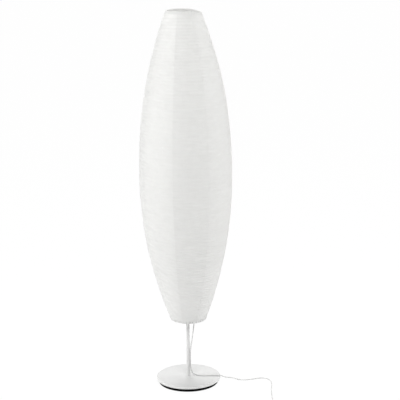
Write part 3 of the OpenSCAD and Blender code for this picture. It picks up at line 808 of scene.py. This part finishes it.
spring_path = winding(spring_turns, 24, spring_point)
button_spring = piece("button_spring", wires([spring_path], spring_wire_r, sides=2),
                      "stand", "zinc", ["switch_spring"], 60)
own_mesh(button_spring)
print("spring %.1f mm tall" % (spring_tall / MM))

# %% [markdown]
# ## The plug
# A flat plug for two pins. Its body starts as one flat outline that is extruded, and its edges
# are bevelled. Shallow grooves across its back half give the fingers a hold.

# %% Plug body
plug_shoulder = 9 * MM
plug_neck = 6 * MM
plug_corner = 3 * MM
grooves = 4
groove_from, groove_step = 4 * MM, 2.6 * MM
groove_half = Vector((0.5, 0, 0.6)) * MM


def plug_block():
    """The plug's outline seen from above, extruded and with its edges rounded."""
    half = (plug_high.y - plug_low.y) / 2
    side = [(plug_low.x, half, plug_corner), (plug_low.x + plug_shoulder, half, 2 * plug_corner),
            (plug_high.x, plug_neck, plug_corner)]
    other_side = [(x, -y, corner) for x, y, corner in side]
    bm = bmesh.new()
    face = bm.faces.new([bm.verts.new((x, plug_y + y, plug_low.z))
                         for x, y in rounded(other_side + side[::-1], 5)])
    made = bmesh.ops.extrude_face_region(bm, geom=[face])
    top = [v for v in made["geom"] if isinstance(v, bmesh.types.BMVert)]
    bmesh.ops.translate(bm, vec=(0, 0, plug_high.z - plug_low.z), verts=top)
    bmesh.ops.recalc_face_normals(bm, faces=bm.faces)
    rim = [e for e in bm.edges if sorted(round(abs(f.normal.z)) for f in e.link_faces) == [0, 1]]
    soften(bm, rim, 2.2 * MM, 5)
    return bm


def grip_grooves():
    """Thin bars across the top and the bottom, to be cut out. They widen with the plug."""
    bars = []
    for k in range(grooves):
        half = groove_half + Vector((0, plug_neck + (1.6 * k - 1) * MM, 0))
        for z in (plug_low.z, plug_high.z):
            centre = Vector((plug_high.x - groove_from - k * groove_step, plug_y, z))
            bars.append(block(centre - half, centre + half, 0.3 * MM))
    return bars


def bore(x, y, radius, length):
    """A round bar to the right from x, to be cut out."""
    return moved(bar(radius, 0, length), (x, y, plug_z), to_right)


pin_low, pin_high = ends("plug_pins")
pin_r = 2 * MM
pin_root_r = 1.5 * MM
pin_ys = (pin_low.y + pin_r, pin_high.y - pin_r)
plug_bores = [bore(plug_low.x - 1 * MM, y, pin_root_r + 0.05 * MM, 11 * MM) for y in pin_ys]
plug_bores.append(bore(plug_high.x - 5 * MM, plug_y, 3.45 * MM, 8 * MM))
plug_shell = piece("plug_shell", carved(plug_block(), *plug_bores, *grip_grooves()),
                   "stand", "plug_plastic", ["plug_body"])


# %% Plug pins
def plug_pin(y):
    """A round pin with a domed end, thinner where it sits in the plug."""
    free = plug_low.x - pin_low.x
    seat = pin_high.x - plug_low.x
    outline = rounded([(0, -seat, 0), (pin_root_r, -seat, 0.2 * MM), (pin_root_r, 0.3 * MM, 0),
                       (pin_r, 0.3 * MM, 0.1 * MM), (pin_r, free, 1.3 * MM), (0, free, 0)])
    return moved(turned(outline, 40), (plug_low.x, y, plug_z), to_left)


plug_prongs = piece("plug_prongs", joined(*(plug_pin(y) for y in pin_ys)),
                    "stand", "nickel", ["plug_pins"])

# %% [markdown]
# ## The coil's tie
# A flat plastic strap goes once round the coil's section, and its ends are twisted together on
# top. The band is a box without its two open sides, with rounded edges and a wall.

# %% Tie
tie_low, tie_high = ends("coil_tie")
tie_t = 0.6 * MM
twist_r = 0.55 * MM
twist_pitch = 2.24 * MM
twist_wire_r = 0.45 * MM


def tie_band():
    """The strap as a loop round the coil's section, made from a box without its open sides."""
    bm = plain_box(tie_low, tie_high)
    soften(bm, edges_along(bm, 0), 2 * MM, 5)
    open_sides = [f for f in bm.faces if abs(f.normal.x) > 0.9]
    bmesh.ops.delete(bm, geom=open_sides, context="FACES_ONLY")
    bmesh.ops.solidify(bm, geom=bm.faces, thickness=tie_t)
    return bm


def tie_twist():
    """Two short wires wound round each other three times, lying on top of the band."""
    start = Vector((*middle("coil_tie").xy, tie_high.z)) + Vector((-2.5, -2, 0.9)) * MM
    lay_down = Matrix.Rotation(-math.pi / 2, 4, "X")
    paths = [winding(3, 8, lambda turns: start + lay_down @ around(
        twist_r, side - math.tau * turns, twist_pitch * turns)) for side in (0, math.pi)]
    return wires(paths, twist_wire_r, sides=2)


coil_strap = piece("coil_strap", joined(tie_band(), tie_twist()), "stand", "tie", ["coil_tie"])

# %% [markdown]
# ## The base
# A black moulded tray with a rubber pad under it holds the iron weight, and a pressed steel
# cover closes it. The cover's edge is rolled over and curled in below, so the light from the
# floor catches its lower edge all round.

# %% Base cover, tray and pad
cover_low, cover_high = ends("base_cover")
cover_r = half_width("base_cover") + 1.2 * MM
sheet_t = 1.2 * MM
stud_r = 5 * MM
cover_edge = 4.6 * MM
lip_edge, lip_in = 3 * MM, 4.2 * MM
crown, flat_r = 0.25 * MM, cover_r * 0.8
cover_in_r = cover_r - sheet_t
piece("base_cap", turned(rounded([
    (stud_r, cover_high.z, 0), (flat_r, cover_high.z, 0),
    (cover_r, cover_high.z - crown, cover_edge), (cover_r, cover_low.z, lip_edge),
    (cover_r - lip_in, cover_low.z, 0), (cover_r - lip_in, cover_low.z + sheet_t, 0),
    (cover_in_r, cover_low.z + sheet_t, lip_edge - sheet_t),
    (cover_in_r, cover_high.z - sheet_t - crown, cover_edge - sheet_t),
    (stud_r, cover_high.z - sheet_t, 0)], 8), 192), "stand", "white_paint", ["base_cover"])

tray_r = half_width("base_tray") + 1.2 * MM
tray_low, tray_high = ends("base_tray")
tray_wall = 2 * MM
tray_draft = 0.8 * MM
piece("base_foot", turned(rounded([
    (0, tray_low.z, 0), (tray_r - tray_draft, tray_low.z, 0.6 * MM), (tray_r, tray_high.z, 0.4 * MM),
    (tray_r - tray_wall, tray_high.z, 0.4 * MM), (tray_r - tray_wall, tray_low.z + tray_wall, 1 * MM),
    (0, tray_low.z + tray_wall, 0)], 5), 160), "stand", "tray", ["base_tray"])

pad_r = half_width("base_pad") + 4 * MM
pad_top = high("base_pad").z
pad_grooves = 5


def pad_outline():
    """The pad's section, with round grooves in its underside that grip the floor."""
    outline = [(0, pad_top), (0, 0)]
    for k in range(1, pad_grooves + 1):
        at = pad_r * k / (pad_grooves + 1)
        outline += [(at + x * MM, z * MM) for x, z in ((-1.5, 0), (-1, 0.5), (1, 0.5), (1.5, 0))]
    return outline + [(pad_r - 0.3 * MM, 0), (pad_r, 0.3 * MM), (pad_r, pad_top)]


piece("rubber_pad", turned(pad_outline(), 160), "stand", "pad", ["base_pad"])

# %% [markdown]
# ## The pole
# Two tubes of 12 mm screw end to end. Their ends are chamfered, which leaves a fine line where
# they meet inside the shade and where the pole stands on the base.

# %% Pole tubes
for name, part in (("pole_bottom_tube", "lower_pole"), ("pole_top_tube", "upper_pole")):
    tube = collar(stud_r, half_width("lower_pole"), low(part).z, high(part).z, 0.35 * MM, 64)
    piece(name, tube, "stand", "white_paint", [part])

# %% [markdown]
# ## The lampholder
# The sleeve carries a coarse thread outside, and the clamp ring runs down it onto the
# stretcher. A thread is a small section spun round the axis while it climbs. The ring has
# twelve flutes for the fingers, pressed into it by a wave round the axis.

# %% Threaded sleeve
sleeve_low, sleeve_high = ends("holder_sleeve")
shoulder_r = half_width("holder_sleeve")
shoulder_low, shoulder_high = sleeve_low.z + 4 * MM, sleeve_low.z + 7 * MM
clamp_r = half_width("clamp_ring")
sleeve_r = clamp_r - 5 * MM
sleeve_in_r = sleeve_r - 1.6 * MM
thread_depth = 0.6 * MM
thread_pitch = 4 * MM
sleeve_root = sleeve_r - thread_depth


def thread(root, depth, pitch, bottom, turns, steps=48):
    """A trapezium spun up round the axis, as a closed ridge."""
    section = [(root - 0.1 * MM, bottom), (root + depth, bottom + pitch * 0.25),
               (root + depth, bottom + pitch * 0.45), (root - 0.1 * MM, bottom + pitch * 0.7)]
    bm = spun(section, math.tau * turns, round(steps * turns), dvec=(0, 0, pitch / steps),
              use_merge=False)
    bmesh.ops.holes_fill(bm, edges=[e for e in bm.edges if e.is_boundary], sides=4)
    bmesh.ops.recalc_face_normals(bm, faces=bm.faces)
    return bm


sleeve_body = turned(rounded([
    (sleeve_in_r, sleeve_low.z, 0.2 * MM), (sleeve_r, sleeve_low.z, 0.3 * MM),
    (sleeve_r, shoulder_low, 0.3 * MM), (shoulder_r, shoulder_low, 0.5 * MM),
    (shoulder_r, shoulder_high, 0.5 * MM), (sleeve_root, shoulder_high, 0.3 * MM),
    (sleeve_root, sleeve_high.z, 0.3 * MM), (sleeve_in_r, sleeve_high.z, 0.3 * MM)]))
sleeve_thread = thread(sleeve_root, thread_depth, thread_pitch, shoulder_high + 0.6 * MM,
                       (sleeve_high.z - shoulder_high) / thread_pitch - 1)
piece("threaded_sleeve", joined(sleeve_body, sleeve_thread),
      "stand", "holder_plastic", ["holder_sleeve"])

# %% Clamp ring
clamp_low, clamp_high = ends("clamp_ring")
clamp_in_r = sleeve_r + 0.08 * MM
flutes = 12
flute_depth = 1 * MM


def flute(radius, angle, z):
    """How deep a flute is at a point: deepest on the rim, and nothing at the bore."""
    outer = smooth(radius, clamp_in_r + 1.5 * MM, clamp_r)
    return flute_depth * max(0, math.cos(flutes * angle)) ** 2 * outer


clamp_bm = collar(clamp_in_r, clamp_r, clamp_low.z, clamp_high.z, 0.8 * MM, 144)
piece("fluted_clamp_ring", pressed(clamp_bm, flute), "clamp", "holder_plastic", ["clamp_ring"])

# %% [markdown]
# ## The bulb's cap
# The cap is thin metal pressed into a round thread. The outline is turned with many levels,
# and each point then moves in and out by a wave that climbs one pitch in each turn.

# %% Bulb cap
bulb_low, bulb_high = low("bulb_cap").z, high("bulb_cap").z
bulb_cap_r = half_width("bulb_cap")
bulb_pitch = 3.6 * MM
bulb_thread_depth = 1 * MM
plain_end = 3 * MM
levels = 64


def bulb_thread(radius, angle, z):
    """How deep the round thread lies at a point. It fades out towards both ends of the cap."""
    if radius <= bulb_cap_r - 1 * MM:
        return 0
    fade = smooth(z, bulb_low + plain_end, bulb_low + 6 * MM) * smooth(z, bulb_high, bulb_high - 6 * MM)
    wave = 0.5 - 0.5 * math.cos(math.tau * z / bulb_pitch - angle)
    return bulb_thread_depth * wave * fade


wall_from = bulb_low + plain_end
wall = [(bulb_cap_r, wall_from + (bulb_high - wall_from) * k / levels) for k in range(levels + 1)]
cap_bm = turned([(0, bulb_low), (bulb_cap_r - 4 * MM, bulb_low), *wall, (0, bulb_high)], 72)
piece("threaded_bulb_cap", pressed(cap_bm, bulb_thread), "bulb", "nickel", ["bulb_cap"])

# %% [markdown]
# ## The shade's outline
# The paper hangs on one long spiral of thin wire between two end rings. Its outline is a power
# curve on either side of the widest place. The top ring is bent down a little on its right, as
# these rings are when the lantern has been pulled open by hand. Next to each ring the paper is
# drawn in to a waist. On the lamp's right more of it was drawn in than the rings have room for,
# so it is gathered there. The wire follows this wall on its inside, so the wall is written as
# formulas first, for the wire, the strips and the binding to share.

# %% Shade outline
shade_low, shade_top = low("paper_gore_1").z, high("paper_gore_1").z
belly_z = shade_low + 0.490
belly_r, end_r = 0.151, 0.058
fullness = 2.1
rib_pitch = 10 * MM
gores = 8
first_seam = math.radians(-13.5)
ring_wire_r = 1.5 * MM
ring_r = half_width("top_ring") - ring_wire_r
paper_t = 0.3 * MM
top_ring_z, bottom_ring_z = middle("top_ring").z, middle("bottom_ring").z
sag_from = shade_top - 0.22
top_sag, right_sag, left_sag = 0.5 * MM, 8.2 * MM, 0.2 * MM
foot_from, spread_from = shade_low + 0.25, shade_low + 0.13
foot_slide, foot_sink, foot_spread = 2.2 * MM, 2.4 * MM, 0.016


def shade_r(z):
    """The paper's outer radius at a height."""
    end_z = shade_top if z > belly_z else shade_low
    return belly_r - (belly_r - end_r) * min((z - belly_z) / (end_z - belly_z), 1) ** fullness


def settled(point):
    """Where a point of the even shade really hangs: its top sags right, its foot is pulled down."""
    side = point.x / max(math.hypot(point.x, point.y), 1 * MM)
    sag = top_sag + (right_sag if side > 0 else left_sag) * side * side
    sag *= smooth(point.z, sag_from, shade_top)
    foot = smooth(point.z, foot_from, shade_low)
    wider = 1 + foot_spread * smooth(point.z, spread_from, shade_low)
    return Vector((point.x * wider + foot_slide * foot, point.y * wider,
                   point.z - sag - foot_sink * foot))


# %% The wall's waists, gathers and swell
at_ring = ring_r + ring_wire_r + paper_t / 2 + 0.05 * MM
tape_leg = 6 * MM
waist = 0.8 * MM
pleats = 38
gather_from, gather_to = math.radians(-92), math.radians(25)
swell_depth = 0.7 * MM
ripple_depth = 0.35 * MM


def from_end(z):
    """How far a height is from the nearer ring."""
    return min(z - bottom_ring_z, top_ring_z - z)


def wall_r(z):
    """The middle of the paper at a height: drawn in to each ring, with a waist next to it."""
    gap = from_end(z)
    plain = shade_r(z) - paper_t / 2
    drawn = at_ring + (plain - at_ring) * smooth(gap, 0, tape_leg)
    narrow = smooth(gap, tape_leg - 1 * MM, tape_leg + 3 * MM) * smooth(gap, 20 * MM, 11 * MM)
    return drawn - waist * narrow


def gather(angle):
    """How much of the paper is gathered at an angle: all of it on the right and little elsewhere."""
    angle = (angle + math.pi) % math.tau - math.pi
    edge = math.radians(12)
    begun = smooth(angle, gather_from - edge, gather_from + edge)
    return 0.2 + 0.8 * begun * smooth(angle, gather_to + edge, gather_to - edge)


def drift(angle, z):
    """How far the wall lies outside its outline: a slow swell, and ripples near the rings."""
    gap = from_end(z)
    swell = noise.noise(around(1.6, angle, z * 9)) * swell_depth * smooth(gap, 0, 60 * MM)
    ripple = ripple_depth * gather(angle) * math.cos(angle * pleats) * smooth(gap, 24 * MM, 8 * MM)
    return swell + ripple * smooth(gap, 1 * MM, 7 * MM)


# %% [markdown]
# ## Rings, ribs and stretcher
# The two rings are stout wire. The rib is one spiral of thin coated wire with a turn every
# 10 mm. The stretcher that holds the shade open is welded from wire: a flat ring that sits on
# the lampholder, three arms with a socket each, and straight rods with hooked ends that push
# the two rings apart.

# %% End rings and rib spiral
ring_steps = 96
for part, z in (("top_ring", top_ring_z), ("bottom_ring", bottom_ring_z)):
    path = [settled(around(ring_r, math.tau * k / ring_steps, z)) for k in range(ring_steps)]
    piece(part + "_wire", wires([path], ring_wire_r, closed=True), "shade", "stretcher_wire", [part], 60)

rib_r = 0.5 * MM
rib_gap = 0.2 * MM
rib_first, rib_last = shade_low + 15 * MM, shade_top - 17 * MM
rib_turns = (rib_last - rib_first) / rib_pitch


def rib_point(turns):
    """A point of the spiral, just inside the paper. It starts at the first seam."""
    z = rib_first + rib_pitch * turns
    angle = first_seam + math.tau * turns
    return settled(around(wall_r(z) + drift(angle, z) - paper_t - rib_gap - rib_r, angle, z))


rib_path = winding(rib_turns, 48, rib_point)
piece("rib_spiral", wires([rib_path], rib_r, sides=1), "shade", "rib", ["rib_wire"], 80)

# %% Rods
rod_r = 1.25 * MM
rod_circle = ring_r - ring_wire_r - 0.3 * MM - rod_r
rod_angles = [math.radians(a) for a in (60, 180, 300)]
socket_low, socket_high = low("stretcher_hub").z, high("stretcher_hub").z
hook = 3.3 * MM
under_ring = ring_wire_r + rod_r + 0.05 * MM


def rods(start_z, foot_z):
    """Three rods with their ends bent outwards under or over a ring."""
    paths = []
    for angle in rod_angles:
        corners = [around(rod_circle, angle, start_z), around(rod_circle, angle, foot_z),
                   around(rod_circle + hook, angle, foot_z)]
        paths.append([settled(p) for p in bend(corners, 2 * MM)])
    return wires(paths, rod_r)


for half, start_z, foot_z in (("upper_rod", socket_high, top_ring_z - under_ring),
                              ("lower_rod", socket_high - 0.2 * MM, bottom_ring_z + under_ring)):
    piece(half + "_wires", rods(start_z, foot_z), "shade", "stretcher_wire", [half + "s"], 60)

# %% Stretcher
hub_z = (socket_low + socket_high) / 2
hub_in_r = sleeve_r + 0.08 * MM
hub_out_r = hub_in_r + 6 * MM
hub_t = 2 * MM
socket_r = rod_r + 1.05 * MM
parts = [collar(hub_in_r, hub_out_r, hub_z - hub_t / 2, hub_z + hub_t / 2, 0.4 * MM)]
for angle in rod_angles:
    arm = [around(r, angle, hub_z) for r in (hub_out_r - 3 * MM, rod_circle - socket_r + 0.3 * MM)]
    socket = collar(rod_r + 0.05 * MM, socket_r, socket_low, socket_high, 0.25 * MM, 32)
    parts += [wires([arm], rod_r), moved(socket, around(rod_circle, angle, 0))]
piece("stretcher", joined(*parts), "shade", "stretcher_wire", ["stretcher_hub"])

# %% [markdown]
# ## The paper's strips
# The shade is glued from eight long strips. Each strip is a flat grid that is wrapped onto the
# wall. Its rows climb with the spiral, so that the crease over each rib follows the wire, and
# between two ribs the paper is drawn a little hollow. One long edge of each strip lies over the
# strip before it.

# %% Where a point of the paper lies
rows_per_pitch = 8
climb_over = 35 * MM
climb_share = 0.98
hollow = 0.75 * MM
pucker_share = 0.35


def paper_point(level, turn, over):
    """A point of a strip's middle. turn is the share of the way round from the first seam."""
    angle = first_seam + math.tau * turn
    z = level + rib_pitch * turn * min(from_end(level) / climb_over, 1) * climb_share
    phase = ((z - rib_first) / rib_pitch - turn) % 1
    sag = 4 * phase * (1 - phase) * hollow * smooth(from_end(z), 8 * MM, 18 * MM)
    spot = around(90, angle, z * 1000)
    pucker = noise.noise(Vector((spot.x / 7, spot.y / 7, spot.z / 11))) * pucker_share * sag
    return settled(around(wall_r(z) + over + drift(angle, z) + pucker - sag, angle, z))


# %% Cut, wrap and thicken one strip
strip_columns = 24
# Each strip's grey. The front strip is greyer than the strip left of it, which paints the step of shade
# between the lit left side and the front.
strip_greys_and_shade = (0.03, 0.05, 0.01, 0.06, 0.03, 0, 0.055, 0.03)
overlap = 6 * MM
lap_lift = 1.3 * paper_t
strip_tall = top_ring_z - bottom_ring_z
strip_rows = round(strip_tall / rib_pitch * rows_per_pitch)
levels_up = [bottom_ring_z + strip_tall * k / strip_rows for k in range(strip_rows + 1)]


def paper_strip(index):
    """One strip as a thin closed sheet. Its first long edge lies over the strip before it."""
    bm = bmesh.new()
    bmesh.ops.create_grid(bm, x_segments=strip_columns, y_segments=strip_rows, size=0.5)
    for vert in bm.verts:
        level = levels_up[round((vert.co.y + 0.5) * strip_rows)]
        across = vert.co.x + 0.5
        lap = overlap / (math.tau * wall_r(level))
        turn = (index + across) / gores + lap * (across - 1)
        vert.co = paper_point(level, turn, lap_lift * (1 - smooth(across, 0, 0.12)))
    bmesh.ops.recalc_face_normals(bm, faces=bm.faces)
    bmesh.ops.solidify(bm, geom=bm.faces, thickness=paper_t)
    # The strip's grey, stored on its points; partly painted shade of the side light.
    tone_and_painted_shade = bm.verts.layers.float.new("tone_and_painted_shade")
    for vert in bm.verts:
        vert[tone_and_painted_shade] = strip_greys_and_shade[index]
    return bm


for index in range(gores):
    strip = piece(f"paper_strip_{index + 1}", paper_strip(index), "shade", "paper",
                  [f"paper_gore_{index + 1}"], 60)

# %% [markdown]
# ## The binding of the rings
# A narrow paper tape is folded over each ring and covers the cut ends of the strips. It is
# turned from the outline of a folded band. Where the paper is gathered, the tape lies in
# pleats: each one is a narrow groove between two puffs, and none is like the next. Each groove
# is painted darker as painted shade, and the whole tape gets a faint grey.

# %% Binding tape
tape_t = 0.25 * MM
tape_roll_r = ring_wire_r + paper_t + tape_t + 0.35 * MM
tape_steps = 540
crumple = 0.25 * MM


def band(path, thickness):
    """The closed outline of a thin band whose middle runs along the path."""
    sides = ([], [])
    for before, here, after in zip(path[:1] + path, path, path[1:] + path[-1:]):
        along = (Vector(after) - Vector(before)).normalized()
        across = Vector((-along.y, along.x)) * thickness / 2
        sides[0].append(Vector(here) + across)
        sides[1].append(Vector(here) - across)
    return sides[0] + sides[1][::-1]


def tape_path(ring_z, way):
    """The tape's middle: along the outside of the wall, round the ring and back inside."""
    lift = (paper_t + tape_t) / 2 + 0.1 * MM
    legs = [ring_z + way * tape_leg * k / 4 for k in (4, 3, 2)]
    outside = [(wall_r(z) + lift, z) for z in legs]
    over = [(ring_r + tape_roll_r * math.cos(a), ring_z - way * tape_roll_r * math.sin(a))
            for a in (math.pi * k / 12 for k in range(13))]
    inside = [(ring_r - tape_roll_r, z) for z in legs[::-1]]
    return outside + over + inside


# %% Pleats
def pleat_folds(seed):
    """How deep each step round the tape lies in a pleat's groove: 0 on a puff, 1 at most."""
    chance = random.Random(seed)
    folds = [0.0] * tape_steps
    for k in range(pleats):
        centre = (k + chance.uniform(-0.2, 0.2)) * tape_steps / pleats
        width = math.radians(chance.uniform(1.5, 2.2)) * tape_steps / math.tau
        depth = chance.uniform(0.6, 1)
        for step in range(math.floor(centre - 3 * width), math.ceil(centre + 3 * width) + 1):
            fold = depth * math.exp(-((step - centre) / width) ** 2)
            folds[step % tape_steps] = max(folds[step % tape_steps], fold)
    return folds


def bind(name, ring_z, way, seed, most_puff, most_groove, most_painted_shade):
    """A pleated tape over one ring. way is 1 where the paper goes up from the ring, and else -1."""
    bm = turned(band(tape_path(ring_z, way), tape_t), tape_steps)
    folds = pleat_folds(seed)
    tone_and_painted_shade = bm.verts.layers.float.new("tone_and_painted_shade")
    for vert in bm.verts:
        angle = math.atan2(vert.co.y, vert.co.x)
        radius = vert.co.xy.length
        up_leg = way * (vert.co.z - ring_z)
        shown = smooth(radius, ring_r - tape_roll_r, ring_r + tape_roll_r * 0.5)
        shown *= smooth(up_leg, tape_leg * 1.05, tape_leg * 0.5)
        fold = folds[round(angle / math.tau * tape_steps) % tape_steps]
        out = gather(angle) * (most_puff * (1 - fold) - most_groove * fold)
        out += noise.noise(around(3, angle, vert.co.z * 60)) * crumple
        # Painted shade: each groove of the gathered pleats is greyed, over a faint grey on the whole
        # tape.
        vert[tone_and_painted_shade] = most_painted_shade * (0.05 + fold * gather(angle) * shown)
        under = smooth(up_leg, 0, -tape_roll_r)
        vert.co = settled(around(radius + out * shown, angle, vert.co.z - way * out * under * 0.7))
    made = piece(name, bm, "shade", "paper", [], 60)


bind("top_binding", top_ring_z, -1, 3, 0.4 * MM, 0.3 * MM, 0.1)
bind("bottom_binding", bottom_ring_z, 1, 8, 1.2 * MM, 1.8 * MM, 1)

# %% [markdown]
# ## Floor and light
# The lamp stands on a white floor that has no edge in the picture. To the camera the floor is
# almost white by itself, and the rest of it takes the lamp's soft shadow. The floor also gives
# off a little light of its own, so the base is also lit from below. Five large
# soft lamps stand round the object: two low ones at the sides, two higher ones in front and a
# high one behind, which shines through the paper. The room itself is dim and even, so the
# middle of the shade is a little darker than its sides.

# %% Floor
floor_reach = 60
floor_white = (0.82, 0.82, 0.82)
floor_light = 0.38
near_glow, far_glow = 0.93, 0.985
floor_drop = 0.2 * MM
white = (1, 1, 1)


def seen_directly(material):
    """1 for rays that show the floor to the camera, straight, in gloss or through glass."""
    path = node(material, "LightPath").outputs
    first = calc(material, "MAXIMUM", path["Is Camera Ray"], path["Is Glossy Ray"])
    return calc(material, "MAXIMUM", first, path["Is Transmission Ray"])


def white_floor():
    made = finish("white_floor", floor_white, 0.9,
                  {"Emission Color": white, "Emission Strength": floor_light})
    tone(made, 0.8, (0.8, 0.8, 0.8))
    away = node(made, "VectorMath", {0: own_place(made)}, operation="LENGTH").outputs["Value"]
    glow = spread(made, away, near_glow, far_glow, 0.3, 2)
    lit = node(made, "Emission", {"Strength": 1.0})
    mix_shaders(made, calc(made, "MULTIPLY", seen_directly(made), glow),
                shader_of(made).outputs[0], lit.outputs[0])
    return made


def make_floor():
    bm = bmesh.new()
    bmesh.ops.create_grid(bm, x_segments=1, y_segments=1, size=floor_reach)
    made = add_object("floor", mesh_of(bm, "floor"))
    made.data.materials.append(white_floor())
    made.location.z = -floor_drop
    return made


make_floor()

# %% World and lamps
room_light = 0.11
lamp_size = 1.4
lamp_away = 3.2
lamp_aim = Vector((0, 0, 0.7))
lamps = {"left_lamp": (180, 12, 50), "right_lamp": (15, 12, 41), "front_left_lamp": (-110, 38, 27),
         "front_right_lamp": (-70, 38, 36), "back_lamp": (90, 60, 50)}


def make_world():
    """White to the camera, and a dim even room to the surfaces."""
    world = bpy.data.worlds.new("studio")
    world.use_nodes = True
    bpy.context.scene.world = world
    strength = spread(world, seen_directly(world), room_light, 1, 0, 1)
    fill(world, world.node_tree.nodes["Background"], {"Color": white, "Strength": strength})


def soft_lamp(name, turn, rise, watts):
    """A square area lamp that faces the middle of the shade, at two angles in degrees."""
    data = bpy.data.lights.new(name, "AREA")
    data.size = lamp_size
    data.energy = watts
    made = add_object(name, data)
    flat = math.cos(math.radians(rise))
    way = around(flat, math.radians(turn), math.sin(math.radians(rise)))
    made.location = lamp_aim + way * lamp_away
    made.rotation_euler = way.to_track_quat("Z", "Y").to_euler()


make_world()
for name, (turn, rise, watts) in lamps.items():
    soft_lamp(name, turn, rise, watts)
print("lamps", len(lamps))

# %% Colour management
bpy.context.scene.view_settings.view_transform = "Standard"
